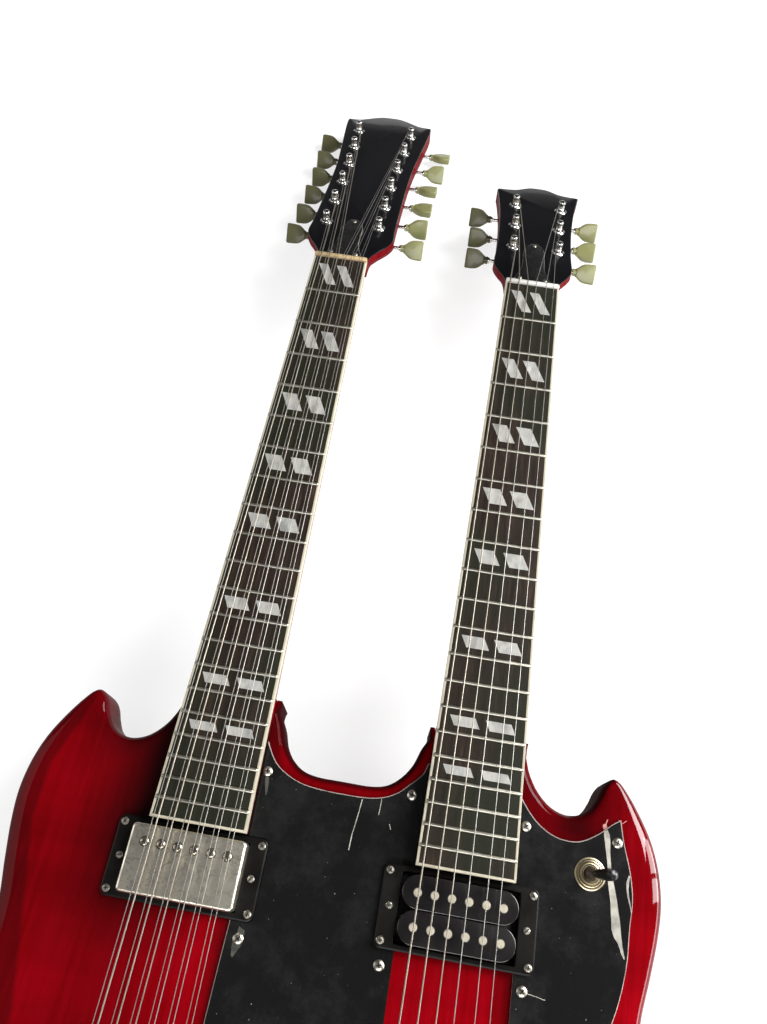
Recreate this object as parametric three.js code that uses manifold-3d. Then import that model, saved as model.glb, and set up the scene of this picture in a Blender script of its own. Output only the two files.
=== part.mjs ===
// A double-neck electric guitar: a twelve-string and a six-string neck on one solid body.
// Millimetres. +X runs from the twelve-string side to the six-string side, +Y towards the headstocks,
// +Z out of the front. The origin is on the body's back face, midway between the necks, under the saddles.
import * as THREE from "three";
import { mergeVertices } from "three/addons/utils/BufferGeometryUtils.js";
import Module from "manifold-3d";

const wasm = await Module();
wasm.setup();

// Scale and necks
const scaleLength = 628.65;
const neckSpacing = 158.6;
const fretCount = 20;
const boardPastLastFret = 11.36;
const nutWidth = 43.2;
const boardEndWidth = 58.2;
const boardThickness = 6;
const neckRise = 8.5;
const neckDepthAtHeel = 24.5;
const neckDepthNearHeel = 18.5;
const neckDepthAtNut = 15.5;
const heelTaper = 34;
const nutThickness = 5;
const nutRise = 8.2;
const fretWidth = 2.4;
const fretHeight = 1.1;

// Body
const bodyThickness = 38;
const upperHalfWidth = 196;
const heelPastBoardEnd = 81.85;
const bevelShareOfFlank = 0.11;
const tailEnd = 165;
const topBevelDepth = 7;
const topBevelWidth = 12;
const backBevelDepth = 14;
const backBevelWidth = 10;

// Clearances: glued flat faces, and pieces that stay loose or move
const glueGap = 0.05;
const gap = 0.3;
const overrun = 20;

// Pickguard, pickups and rings
const guardThickness = 2.4;
const ringSideBorder = 11.2;
const ringEndBorder = 3.7;
const ringHeight = 3.6;
const ringCorner = 4;
const stripHalf = 34;
const ringFromBoard = 0.6;
const pickupWidth = 68.6;
const pickupLength = 37.6;
const pickupHeight = 15;
const bobbinMargin = 0.35;
const bobbinHeight = 12;
const poleRadius = 2.5;
const poleSpacing = 9.9;
const poleHeight = 1;
const coveredPickupTop = 13.4;
const openPickupTop = 10.6;
const pickupTravelDown = 3;
const pickupFromBridge = 2.2;
const twelvePickupShift = -3.2;
const sixPickupShift = -0.9;

// Strings, bridges and tailpieces
const courseCount = 6;
const sixSpreadAtNut = 35.2;
const sixSpreadAtBridge = 50;
const sixShiftAtNut = -0.6;
const sixShiftAtBridge = -3;
const twelveSpreadAtNut = 34;
const twelveSpreadAtBridge = 51;
const twelveShiftAtNut = 0;
const twelveShiftAtBridge = -1.5;
const pairGapAtNut = 2.2;
const pairGapAtBridge = 3;
const stringRadius = 0.42;
const nutAction = 0.7;
const bridgeAction = 3.9;
const bridgeWidth = 88;
const bridgeLength = 12;
const bridgeBarHeight = 6.5;
const bridgePostSpan = 74;
const bridgePostRadius = 3;
const thumbwheelRadius = 6.5;
const thumbwheelHeight = 1.8;
const saddleLength = 7;
const saddleHeight = 3;
const saddleWidth = 6.4;
const tailpieceWidth = 98;
const tailpieceLength = 16;
const tailpieceHeight = 11;
const tailpieceY = -46;
const tailpieceLift = 6;
const tailpieceStudSpan = 82;
const tailpieceStudRadius = 5;

// Headstocks and machine heads
const headAngle = THREE.MathUtils.degToRad(15);
const headThickness = 14.5;
const headThroat = 13;
const twelveHeadHalf = 36;
const sixHeadHalf = 32.2;
const twelvePastPosts = 27;
const sixPastPosts = 29.6;
const twelvePostPitch = 36.2;
const sixPostPitch = 35.7;
const firstPost = 56;
const twelvePostShare = 0.635;
const sixPostShare = 0.605;
const coverHalf = 15;
const coverLength = 60;
const coverStart = 2.5;
const coverThickness = 2;
const flareFrontThickness = 7;
const flareDelay = 9;
const flareShare = 0.19;
const postRadius = 3;
const postWaistRadius = 2.3;
const postHeight = 10.4;
const postWaistLow = 3.4;
const postWaistHigh = 7.2;
const twelvePostShift = -1.2;
const sixPostShift = 0.9;
const ferruleRadius = 5.6;
const ferruleHeight = 1.7;
const wrapThickness = 0.9;
const wrapHeight = 2;
const gearRadius = 4.4;
const gearThickness = 4;
const wormRadius = 2;
const wormLength = 9;
const shaftDrop = 5.9;
const shaftRadius = 1.5;
const shaftReach = 5.5;
const housingWall = 1.2;
const collarRadius = 3.3;
const collarLength = 3;
const buttonLength = 17;
const buttonHalfWidth = 8.6;
const buttonThickness = 6.6;
const buttonEdge = 1.1;

// Controls and fittings
const knobRadius = 12.5;
const knobSkirt = 5;
const knobHeight = 15;
const knobShaftRadius = 3;
const knobShaftLength = 16;
const toggleReach = 24;
const toggleStemRadius = 1.6;
const toggleTipRadius = 3.2;
const toggleTipLength = 12;
const toggleBallRadius = 4.1;
const toggleNutRadius = 8;
const toggleNutHeight = 3;
const toggleSwing = THREE.MathUtils.degToRad(20);
const strapButtonRadius = 6.5;
const strapButtonHeight = 12;
const strapNeckRadius = 4;
const jackRadius = 9;
const jackHeight = 2.4;
const jackBore = 3.4;

// Heights and places that follow from the sizes above
const neckX = neckSpacing / 2;
const nutY = scaleLength;
const fretY = (n) => nutY - scaleLength * (1 - Math.pow(2, -n / 12));
const boardEndY = fretY(fretCount) - boardPastLastFret;
const boardLength = nutY - boardEndY;
const heelY = boardEndY + heelPastBoardEnd;
const ringWidth = pickupWidth + 2 * ringSideBorder;
const ringLength = pickupLength + 2 * ringEndBorder;
const bobbinWidth = pickupWidth - 4 * bobbinMargin;
const bobbinLength = (pickupLength - gap) / 2 - bobbinMargin;
const neckTop = bodyThickness + neckRise;
const boardTop = neckTop + boardThickness;
const fretTop = boardTop + fretHeight;
const stringAtNut = fretTop + nutAction;
const stringAtBridge = fretTop + bridgeAction;
const headStart = nutY + nutThickness + gap;
const twelveHeadLength = firstPost + (courseCount - 1) * twelvePostPitch + twelvePastPosts;
const sixHeadLength = firstPost + (courseCount / 2 - 1) * sixPostPitch + sixPastPosts;
const pocketFloor = neckTop - neckDepthAtHeel;
const ringY = boardEndY - ringFromBoard - ringLength / 2;
const bridgePickupY = bridgeLength / 2 + pickupFromBridge + pickupLength / 2;
const twelvePickupX = -neckX + twelvePickupShift;
const sixPickupX = neckX + sixPickupShift;

// Half the fretboard's width at a place along the neck
const boardHalf = (y) => {
  const share = (nutY - y) / boardLength;
  return (nutWidth + (boardEndWidth - nutWidth) * share) / 2;
};

// Outline places are shares: across, 1 is a neck's centre line and 2 the widest of the upper body;
// along, 1 is the heel and -1 the tail end.
const across = (share) =>
  share <= 1 ? share * neckX : neckX + (share - 1) * (upperHalfWidth - neckX);
const along = (share) => (share >= 0 ? share * heelY : share * tailEnd);
const place = ([x, y]) => new THREE.Vector2(Math.sign(x) * across(Math.abs(x)), along(y));

// A solid from any closed three.js geometry
function solidOf(geometry) {
  const plain = geometry.index ? geometry.toNonIndexed() : geometry.clone();
  const bare = new THREE.BufferGeometry();
  bare.setAttribute("position", plain.getAttribute("position"));
  const merged = mergeVertices(bare, 1e-4);
  const at = merged.attributes.position.array;
  const faces = [];
  let volume = 0;
  for (let i = 0; i < merged.index.count; i += 3) {
    const [a, b, c] = merged.index.array.slice(i, i + 3);
    if (a === b || b === c || a === c) continue;
    faces.push([a, b, c]);
    const [p, q, r] = [a, b, c].map((v) => new THREE.Vector3().fromArray(at, 3 * v));
    volume += p.dot(q.cross(r));
  }
  const turned = volume < 0 ? faces.map(([a, b, c]) => [a, c, b]) : faces;
  return new wasm.Manifold(
    new wasm.Mesh({ numProp: 3, vertProperties: at, triVerts: new Uint32Array(turned.flat()) }),
  );
}

// A three.js geometry from a solid
function geometryOf(solid) {
  const mesh = solid.getMesh();
  const geometry = new THREE.BufferGeometry();
  geometry.setAttribute("position", new THREE.BufferAttribute(mesh.vertProperties, 3));
  geometry.setIndex(new THREE.BufferAttribute(mesh.triVerts, 1));
  geometry.computeVertexNormals();
  return geometry;
}

const joined = (first, ...others) => others.reduce((sum, other) => sum.add(other), first);
const cut = (first, ...others) => others.reduce((rest, other) => rest.subtract(other), first);

function box(x0, x1, y0, y1, z0, z1) {
  const geometry = new THREE.BoxGeometry(x1 - x0, y1 - y0, z1 - z0);
  geometry.translate((x0 + x1) / 2, (y0 + y1) / 2, (z0 + z1) / 2);
  return solidOf(geometry);
}

function prism(points, z0, z1) {
  const geometry = new THREE.ExtrudeGeometry(new THREE.Shape(points), {
    depth: z1 - z0,
    bevelEnabled: false,
  });
  geometry.translate(0, 0, z0);
  return solidOf(geometry);
}

// A turned solid about Z from [radius, height] pairs that start and end on the axis
function turned(profile, sides) {
  const points = profile.map(([r, z]) => new THREE.Vector2(r, z));
  const geometry = new THREE.LatheGeometry(points, sides);
  geometry.rotateX(Math.PI / 2);
  return solidOf(geometry);
}

// A round bar about Z whose flats, not its corners, lie at the radius: a hole that clears a pin
const hole = (radius, z0, z1, sides) => {
  const corner = radius / Math.cos(Math.PI / sides);
  return turned([[0, z0], [corner, z0], [corner, z1], [0, z1]], sides);
};
const bar = (radius, z0, z1, sides) =>
  turned([[0, z0], [radius, z0], [radius, z1], [0, z1]], sides);

function roundedRect(width, length, radius, steps, cx = 0, cy = 0) {
  const points = [];
  const corners = [[1, 1], [-1, 1], [-1, -1], [1, -1]];
  corners.forEach(([sx, sy], i) => {
    for (let k = 0; k <= steps; k++) {
      const a = (Math.PI / 2) * (i + k / steps);
      const x = cx + sx * (width / 2 - radius) + radius * Math.cos(a);
      const y = cy + sy * (length / 2 - radius) + radius * Math.sin(a);
      points.push(new THREE.Vector2(x, y));
    }
  });
  return points;
}

// A loft through rings that all have the same number of points, closed by flat caps.
// Where a plan is given, both caps are divided as that ring is.
function loft(rings, plan) {
  const count = rings[0].length;
  const positions = rings.flat().flatMap((p) => [p.x, p.y, p.z]);
  const index = [];
  for (let r = 0; r + 1 < rings.length; r++) {
    for (let i = 0; i < count; i++) {
      const [a, b] = [r * count + i, r * count + ((i + 1) % count)];
      index.push(a, b, b + count, a, b + count, a + count);
    }
  }
  const caps = [[rings[0], 0, true], [rings.at(-1), (rings.length - 1) * count, false]];
  for (const [ring, base, flip] of caps) {
    const pattern = plan ?? ring;
    const normal = capNormal(pattern);
    const side = new THREE.Vector3().subVectors(pattern[1], pattern[0]).normalize();
    const up = new THREE.Vector3().crossVectors(normal, side);
    const flat = pattern.map((p) => new THREE.Vector2(p.dot(side), p.dot(up)));
    for (const [a, b, c] of THREE.ShapeUtils.triangulateShape(flat, [])) {
      index.push(...(flip ? [base + c, base + b, base + a] : [base + a, base + b, base + c]));
    }
  }
  const geometry = new THREE.BufferGeometry();
  geometry.setAttribute("position", new THREE.Float32BufferAttribute(positions, 3));
  geometry.setIndex(index);
  return solidOf(geometry);
}

// Newell's normal of a flat ring of points
function capNormal(ring) {
  const normal = new THREE.Vector3();
  ring.forEach((p, i) => normal.add(new THREE.Vector3().crossVectors(p, ring[(i + 1) % ring.length])));
  return normal.normalize();
}

// A straight-run tube through points, closed at its ends
function tube(points, radius, sides) {
  const rings = points.map((p, i) => {
    const before = points[Math.max(0, i - 1)];
    const after = points[Math.min(points.length - 1, i + 1)];
    const way = new THREE.Vector3().subVectors(after, before).normalize();
    const across = new THREE.Vector3(1, 0, 0).addScaledVector(way, -way.x).normalize();
    const up = new THREE.Vector3().crossVectors(across, way);
    return Array.from({ length: sides }, (_, k) => {
      const a = (2 * Math.PI * k) / sides;
      const [out, over] = [radius * Math.cos(a), radius * Math.sin(a)];
      return p.clone().addScaledVector(across, out).addScaledVector(up, over);
    });
  });
  return loft(rings);
}

const material = (color, roughness, metalness) =>
  new THREE.MeshStandardMaterial({ color, roughness, metalness });
const cherry = material(0x8c0a14, 0.18, 0);
const blackPlastic = material(0x14161a, 0.3, 0);
const rosewood = material(0x33231d, 0.6, 0);
const nickel = material(0xb9b6ad, 0.28, 1);
const bone = material(0xe9dfbd, 0.45, 0);
const agedPlastic = material(0x9fa673, 0.35, 0);

function piece(name, solid, finish, parent) {
  const mesh = new THREE.Mesh(geometryOf(solid), finish);
  mesh.name = name;
  parent.add(mesh);
  return mesh;
}

const guitar = new THREE.Group();

// Body outline of the six-string half: [across, along, share of the full bevel width]
const outerShares = [
  [0, -1, 1],
  [0.76, -0.99, 1],
  [1.27, -0.952, 1],
  [1.65, -0.85, 1],
  [1.95, -0.685, 1],
  [2.13, -0.47, 1],
  [2.195, -0.24, 1],
  [2.165, 0, 1],
  [2.07, 0.15, 1],
  [1.975, 0.28, 1],
  [1.92, 0.385, 1],
  [1.923, 0.475, 1],
  [1.963, 0.56, 1],
  [1.998, 0.64, 1],
  [2.012, 0.705, 1],
  [1.998, 0.77, 0.95],
  [1.96, 0.828, 0.85],
  [1.904, 0.877, 0.7],
  [1.83, 0.926, 0.45],
  [1.775, 0.952, 0.3],
  [1.745, 0.957, 0.28],
  [1.713, 0.949, 0.3],
  [1.687, 0.934, 0.35],
  [1.66, 0.907, 0.42],
  [1.622, 0.88, 0.5],
  [1.566, 0.864, 0.5],
  [1.496, 0.86, 0.5],
  [1.417, 0.872, 0.5],
  [1.346, 0.9, 0.5],
  [1.297, 0.936, 0.45],
  [1.272, 0.97, 0.35],
];
const innerShares = [
  [0.605, 0.972, 0.35],
  [0.562, 0.948, 0.45],
  [0.515, 0.91, 0.5],
  [0.44, 0.878, 0.5],
  [0.34, 0.855, 0.5],
  [0.225, 0.8465, 0.5],
  [0, 0.8455, 0.5],
];
const outerSteps = 50;
const innerSteps = 12;

// Points and bevel shares along a smooth curve through the table's places
function smooth(table, steps) {
  const places = table.map((row) => place(row));
  const curve = new THREE.CatmullRomCurve3(
    places.map((p, i) => new THREE.Vector3(p.x, p.y, table[i][2])),
    false,
    "centripetal",
  );
  return Array.from({ length: steps + 1 }, (_, i) => curve.getPoint(i / steps));
}

function bodyLoop() {
  const outer = smooth(outerShares, outerSteps);
  const inner = smooth(innerShares, innerSteps);
  const heelOut = new THREE.Vector3(outer.at(-1).x - gap, heelY, 0);
  const heelIn = new THREE.Vector3(inner[0].x + gap, heelY, 0);
  const half = [...outer, heelOut, heelIn, ...inner];
  const mirrored = half.slice(1, -1).reverse().map((p) => new THREE.Vector3(-p.x, p.y, p.z));
  return [...half, ...mirrored];
}

// The back's edge is bevelled most in the cutaways and least round the outside and at the horn tips
const backShare = (share) => Math.min(1.25 - share, 2 * share - 0.2);

// The outline moved inwards along its own normals by a width times each point's share
function inset(loop, width, z) {
  const count = loop.length;
  return loop.map((p, i) => {
    const a = loop[(i + count - 1) % count];
    const b = loop[(i + 1) % count];
    const way = new THREE.Vector2(b.x - a.x, b.y - a.y).normalize();
    return new THREE.Vector3(p.x - way.y * width * p.z, p.y + way.x * width * p.z, z);
  });
}

// Along the neck, the plan of the fretboard grown by a clearance
const boardPlan = (y0, y1, grow) => [
  new THREE.Vector2(-boardHalf(y0) - grow, y0),
  new THREE.Vector2(boardHalf(y0) + grow, y0),
  new THREE.Vector2(boardHalf(y1) + grow, y1),
  new THREE.Vector2(-boardHalf(y1) - grow, y1),
];
const pocketLength = heelY + heelTaper;
const pocketHole = (x) =>
  prism(boardPlan(boardEndY - gap, pocketLength, gap), pocketFloor - glueGap, boardTop)
    .translate([x, 0, 0]);

const ringPlaces = [
  [twelvePickupX, ringY],
  [sixPickupX, ringY],
  [twelvePickupX, bridgePickupY],
  [sixPickupX, bridgePickupY],
];
const pickupRoom = pickupTravelDown + gap * 4;
const pickupCavity = ([x, y]) =>
  box(
    x - pickupWidth / 2 - gap * 2,
    x + pickupWidth / 2 + gap * 2,
    y - pickupLength / 2 - gap * 2,
    y + pickupLength / 2 + gap * 2,
    bodyThickness + openPickupTop - pickupHeight - pickupRoom,
    bodyThickness + overrun,
  );

// Knobs: [share of the flank outside the rings, along]
const knobShares = [[0.353, 0.085], [0.838, 0.01], [0.353, -0.17], [0.838, -0.29]];
const ringEdge = sixPickupX + ringWidth / 2;
const knobPlaces = knobShares.map(
  ([x, y]) => new THREE.Vector2(ringEdge + x * (upperHalfWidth - ringEdge), along(y)),
);
const toggleShares = [[1.63, 0.743], [0, 0.13]];
const togglePlaces = toggleShares.map(place);
const jackShare = [1.8, -0.62];
const jackPlace = place(jackShare);

function strapButton() {
  return turned(
    [
      [0, -strapButtonHeight / 4],
      [strapNeckRadius, -strapButtonHeight / 4],
      [strapNeckRadius, strapButtonHeight * 0.7],
      [strapButtonRadius, strapButtonHeight * 0.8],
      [strapButtonRadius, strapButtonHeight],
      [0, strapButtonHeight],
    ],
    12,
  );
}

function body() {
  const loop = bodyLoop();
  const under = loop.map((p) => new THREE.Vector3(p.x, p.y, backShare(p.z)));
  const topBevel = Math.min(topBevelWidth, (upperHalfWidth - neckX) * bevelShareOfFlank);
  const outline = inset(loop, 0, 0);
  const blank = loft(
    [
      inset(under, backBevelWidth, 0),
      inset(loop, 0, backBevelDepth),
      inset(loop, 0, bodyThickness - topBevelDepth),
      inset(loop, topBevel, bodyThickness),
    ],
    outline,
  );
  const shaftHole = (p, radius, depth) =>
    hole(radius, bodyThickness - depth, bodyThickness + overrun, 8).translate([p.x, p.y, 0]);
  const cuts = [
    pocketHole(-neckX),
    pocketHole(neckX),
    ...ringPlaces.map(pickupCavity),
    ...knobPlaces.map((p) => shaftHole(p, knobShaftRadius + gap, knobShaftLength + gap)),
    ...togglePlaces.map((p) => shaftHole(p, toggleBallRadius + gap, toggleBallRadius * 2)),
  ];
  const jack = cut(
    bar(jackRadius, -jackHeight, jackHeight, 16),
    hole(jackBore, -jackHeight * 2, jackHeight * 2, 8),
  ).translate([jackPlace.x, jackPlace.y, bodyThickness]);
  const jackHole = hole(jackBore, bodyThickness / 2, bodyThickness + overrun, 8)
    .translate([jackPlace.x, jackPlace.y, 0]);
  const tailButton = strapButton().rotate([90, 0, 0]).translate([0, -tailEnd, bodyThickness / 2]);
  return cut(joined(blank, jack, tailButton), jackHole, ...cuts);
}
piece("body", body(), cherry, guitar);

// Half of each headstock's face outline: [share of half width, share of length]
const twelveHeadShares = [
  [0.59, 0],
  [0.61, 0.03],
  [0.72, 0.062],
  [0.92, 0.105],
  [1.03, 0.145],
  [1.015, 0.21],
  [1, 0.36],
  [1, 0.5],
  [1.025, 0.64],
  [1.1, 0.77],
  [1.215, 0.985],
  [1.2, 1],
  [0.86, 1.005],
  [0.66, 1.02],
  [0.29, 1.046],
  [0, 1.05],
];
const sixHeadShares = [
  [0.64, 0],
  [0.74, 0.06],
  [0.92, 0.125],
  [1.02, 0.18],
  [1, 0.33],
  [0.995, 0.5],
  [1.01, 0.63],
  [1.06, 0.79],
  [1.165, 0.97],
  [1.185, 0.99],
  [1.15, 1],
  [0.8, 1.005],
  [0.6, 1.015],
  [0.25, 1.052],
  [0, 1.057],
];

// Where the courses lie across the spread: the six-string's fifth string sits a little wide
const twelveCourseShares = [0, 0.2, 0.4, 0.6, 0.8, 1];
const sixCourseShares = [0, 0.2, 0.402, 0.6, 0.832, 1];

// One neck's numbers: its place, headstock and strings
const necks = [
  {
    tag: "12",
    x: -neckX,
    strings: 2 * courseCount,
    headHalf: twelveHeadHalf,
    headLength: twelveHeadLength,
    headShares: twelveHeadShares,
    pitch: twelvePostPitch,
    postShare: twelvePostShare,
    postShift: twelvePostShift,
    nutSpread: twelveSpreadAtNut,
    bridgeSpread: twelveSpreadAtBridge,
    nutShift: twelveShiftAtNut,
    bridgeShift: twelveShiftAtBridge,
    courseShares: twelveCourseShares,
    nutPair: pairGapAtNut,
    bridgePair: pairGapAtBridge,
  },
  {
    tag: "6",
    x: neckX,
    strings: courseCount,
    headHalf: sixHeadHalf,
    headLength: sixHeadLength,
    headShares: sixHeadShares,
    pitch: sixPostPitch,
    postShare: sixPostShare,
    postShift: sixPostShift,
    nutSpread: sixSpreadAtNut,
    bridgeSpread: sixSpreadAtBridge,
    nutShift: sixShiftAtNut,
    bridgeShift: sixShiftAtBridge,
    courseShares: sixCourseShares,
    nutPair: 0,
    bridgePair: 0,
  },
];

// A whole outline from one half's shares, both halves meeting on the middle line
function mirroredOutline(shares, halfWidth, length, start) {
  const half = shares.map(([x, y]) => new THREE.Vector2(x * halfWidth, start + y * length));
  const other = half.slice(0, -1).reverse().map((p) => new THREE.Vector2(-p.x, p.y));
  return [...half, ...other];
}

// Half width of the headstock at a distance past the nut
function headHalfAt(neck, v) {
  const side = neck.headShares.map(([x, y]) => [y * neck.headLength, x * neck.headHalf]);
  const i = Math.max(1, side.findIndex(([y]) => y >= v));
  const [[y0, x0], [y1, x1]] = [side[i - 1], side[i]];
  return x0 + ((x1 - x0) * (v - y0)) / (y1 - y0);
}

// The headstock's plate: the back of its lower flare is carved away towards the neck
function headPlate(neck) {
  const late = neck.headShares.map(([x, y]) => {
    return [x, y > 0 && y < flareShare ? y + flareDelay / neck.headLength : y];
  });
  const ringAt = (shares, w) =>
    mirroredOutline(shares, neck.headHalf, neck.headLength, 0).map((p) => {
      return new THREE.Vector3(p.x, p.y, w);
    });
  return loft([
    ringAt(late, -headThickness),
    ringAt(neck.headShares, -flareFrontThickness),
    ringAt(neck.headShares, 0),
  ]);
}

// Tuning machine places on the headstock: side -1 is left, post number counts from the nut
function machinePlaces(neck) {
  const perSide = neck.strings / 2;
  const places = [];
  for (const side of [-1, 1]) {
    for (let i = 0; i < perSide; i++) {
      const v = firstPost + i * neck.pitch;
      const edge = headHalfAt(neck, v);
      places.push({ side, i, v, u: side * edge * neck.postShare + neck.postShift, edge });
    }
  }
  return places;
}

// The machine's gear and worm lie in a housing on the headstock's back
const housingRoom = gap * 2;
const housingDepth = shaftDrop + gearThickness / 2 + housingRoom + housingWall;
const wormOffset = gearRadius + wormRadius + gap;
const wormLevel = -headThickness - shaftDrop;
const cavityU = Math.max(gearRadius, wormLength / 2) + housingRoom;
const cavityLow = -gearRadius - housingRoom;
const cavityHigh = wormOffset + wormRadius + housingRoom;

const housingBlock = (m) =>
  box(
    m.u - cavityU - housingWall,
    m.u + cavityU + housingWall,
    m.v + cavityLow - housingWall,
    m.v + cavityHigh + housingWall,
    -headThickness - housingDepth,
    -headThickness + gap,
  );
const housingCavity = (m) =>
  box(
    m.u - cavityU,
    m.u + cavityU,
    m.v + cavityLow,
    m.v + cavityHigh,
    -headThickness - housingDepth + housingWall,
    -headThickness,
  );
const ferrule = (m) =>
  turned(
    [
      [0, -gap],
      [ferruleRadius, -gap],
      [ferruleRadius * 0.85, ferruleHeight],
      [0, ferruleHeight],
    ],
    8,
  ).translate([m.u, m.v, 0]);
const postHole = (m) =>
  hole(postRadius + gap, -headThickness - gap, ferruleHeight + gap, 6).translate([m.u, m.v, 0]);
const shaftHoleOf = (m) =>
  hole(shaftRadius + gap, 0, cavityU + overrun, 6)
    .rotate([0, m.side * 90, 0])
    .translate([m.u, m.v + wormOffset, wormLevel]);

// A neck's cross-section: flat on top, round below
const sectionSides = 10;
function section(y, half, top, depth) {
  const ring = Array.from({ length: sectionSides + 1 }, (_, k) => {
    const a = (Math.PI * k) / sectionSides;
    const low = Math.pow(Math.sin(a), 0.8);
    return new THREE.Vector3(half * Math.cos(a), y, top - depth * low);
  });
  return ring;
}

const coverShares = [
  [1, 0],
  [0.95, 0.1],
  [0.78, 0.22],
  [0.64, 0.38],
  [0.62, 0.6],
  [0.6, 0.78],
  [0.45, 0.92],
  [0.2, 0.99],
  [0, 1],
];

function neckSolid(neck) {
  const tenon = prism(boardPlan(boardEndY + gap, heelY - gap, 0), pocketFloor, neckTop);
  const drop = Math.tan(headAngle) * headThroat;
  const shaft = loft([
    section(heelY - 3 * nutThickness, boardHalf(heelY), neckTop, neckDepthAtHeel),
    section(heelY + heelTaper * 0.35, boardHalf(heelY + heelTaper), neckTop, neckDepthAtHeel * 0.84),
    section(heelY + heelTaper, boardHalf(heelY + heelTaper), neckTop, neckDepthNearHeel),
    section(nutY, boardHalf(nutY), neckTop, neckDepthAtNut),
    section(headStart, nutWidth / 2, neckTop, neckDepthAtNut),
    section(headStart + headThroat, nutWidth / 2, neckTop - drop - gap, headThickness + gap),
  ]);
  const machines = machinePlaces(neck);
  const coverOutline = mirroredOutline(coverShares, coverHalf, coverLength, coverStart);
  const cover = prism(coverOutline, -gap, coverThickness);
  const head = cut(
    joined(headPlate(neck), cover, ...machines.map(ferrule), ...machines.map(housingBlock)),
    ...machines.map(housingCavity),
    ...machines.map(postHole),
    ...machines.map(shaftHoleOf),
  )
    .rotate([-THREE.MathUtils.radToDeg(headAngle), 0, 0])
    .translate([0, headStart, neckTop]);
  return joined(tenon, shaft, head);
}

// Fretboard seen from the side, with a low crown for each fret
function boardProfile() {
  const points = [new THREE.Vector2(boardEndY, boardTop), new THREE.Vector2(boardEndY, neckTop + glueGap)];
  points.push(new THREE.Vector2(nutY, neckTop + glueGap), new THREE.Vector2(nutY, boardTop));
  for (let n = 1; n <= fretCount; n++) {
    const y = fretY(n);
    points.push(new THREE.Vector2(y + fretWidth / 2, boardTop));
    points.push(new THREE.Vector2(y + fretWidth / 5, fretTop));
    points.push(new THREE.Vector2(y - fretWidth / 5, fretTop));
    points.push(new THREE.Vector2(y - fretWidth / 2, boardTop));
  }
  return points;
}

function fretboard() {
  const geometry = new THREE.ExtrudeGeometry(new THREE.Shape(boardProfile()), {
    depth: boardEndWidth,
    bevelEnabled: false,
  });
  geometry.translate(0, 0, -boardEndWidth / 2);
  geometry.rotateY(Math.PI / 2);
  geometry.rotateX(Math.PI / 2);
  const plan = prism(boardPlan(boardEndY - gap, nutY + gap, 0), neckTop, fretTop + gap);
  return solidOf(geometry).intersect(plan);
}

// Where the strings lie across at a share of the way from bridge (0) to nut (1)
function stringAcross(neck, share) {
  const spread = neck.bridgeSpread + (neck.nutSpread - neck.bridgeSpread) * share;
  const shift = neck.bridgeShift + (neck.nutShift - neck.bridgeShift) * share;
  const pair = neck.bridgePair + (neck.nutPair - neck.bridgePair) * share;
  const places = [];
  for (let c = 0; c < courseCount; c++) {
    const centre = shift + spread * (neck.courseShares[c] - 0.5);
    if (neck.strings > courseCount) places.push(centre - pair / 2, centre + pair / 2);
    else places.push(centre);
  }
  return places;
}

// From the headstock's own frame to the neck's
function fromHead(u, v, w) {
  const [c, s] = [Math.cos(headAngle), Math.sin(headAngle)];
  return new THREE.Vector3(u, headStart + v * c + w * s, neckTop - v * s + w * c);
}

const wrapInner = postWaistRadius + gap;
const wrapMiddle = wrapInner + wrapThickness / 2;
const wrapLevel = (postWaistLow + postWaistHigh) / 2;

function wrapRing(m) {
  const [r0, r1] = [wrapInner / Math.cos(Math.PI / 6), wrapInner + wrapThickness + gap];
  const [low, high] = [wrapLevel - wrapHeight / 2, wrapLevel + wrapHeight / 2];
  return turned([[r0, low], [r1, low], [r1, high], [r0, high], [r0, low]], 6)
    .translate([m.u, m.v, 0])
    .rotate([-THREE.MathUtils.radToDeg(headAngle), 0, 0])
    .translate([0, headStart, neckTop]);
}

// The nut and the strings over it: one body, because the strings bear in its slots
function nutAndStrings(neck) {
  const [nutFront, nutBack] = [nutY + gap / 2, nutY + nutThickness];
  const nut = box(-nutWidth / 2, nutWidth / 2, nutFront, nutBack, neckTop + glueGap, neckTop + nutRise);
  const machines = machinePlaces(neck);
  const perSide = neck.strings / 2;
  const [atNut, atBridge] = [stringAcross(neck, 1), stringAcross(neck, 0)];
  const tailFront = tailpieceY + tailpieceLength / 2 + gap;
  const tailLevel = bodyThickness + tailpieceLift + tailpieceHeight * 0.62;
  const strings = atNut.map((x, k) => {
    const onLeft = k < perSide;
    const m = onLeft ? machines[k] : machines[perSide + (neck.strings - 1 - k)];
    const tail = new THREE.Vector3(atBridge[k], tailFront, tailLevel);
    const saddle = new THREE.Vector3(atBridge[k], 0, stringAtBridge);
    const slot = new THREE.Vector3(x, nutY + nutThickness / 2, stringAtNut);
    const post = fromHead(m.u - m.side * wrapMiddle, m.v, wrapLevel);
    return tube([tail, saddle, slot, post], stringRadius, 4).add(wrapRing(m));
  });
  return joined(nut, ...strings);
}

// Machine head parts, each made about its own turning axis
const gearLow = wormLevel - gearThickness / 2;
function postSolid() {
  return turned(
    [
      [0, gearLow],
      [gearRadius, gearLow],
      [gearRadius, gearLow + gearThickness],
      [postRadius, gearLow + gearThickness],
      [postRadius, postWaistLow],
      [postWaistRadius, postWaistLow + gap],
      [postWaistRadius, postWaistHigh],
      [postRadius, postWaistHigh + gap * 2],
      [postRadius * 0.8, postHeight],
      [0, postHeight],
    ],
    8,
  );
}

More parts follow.
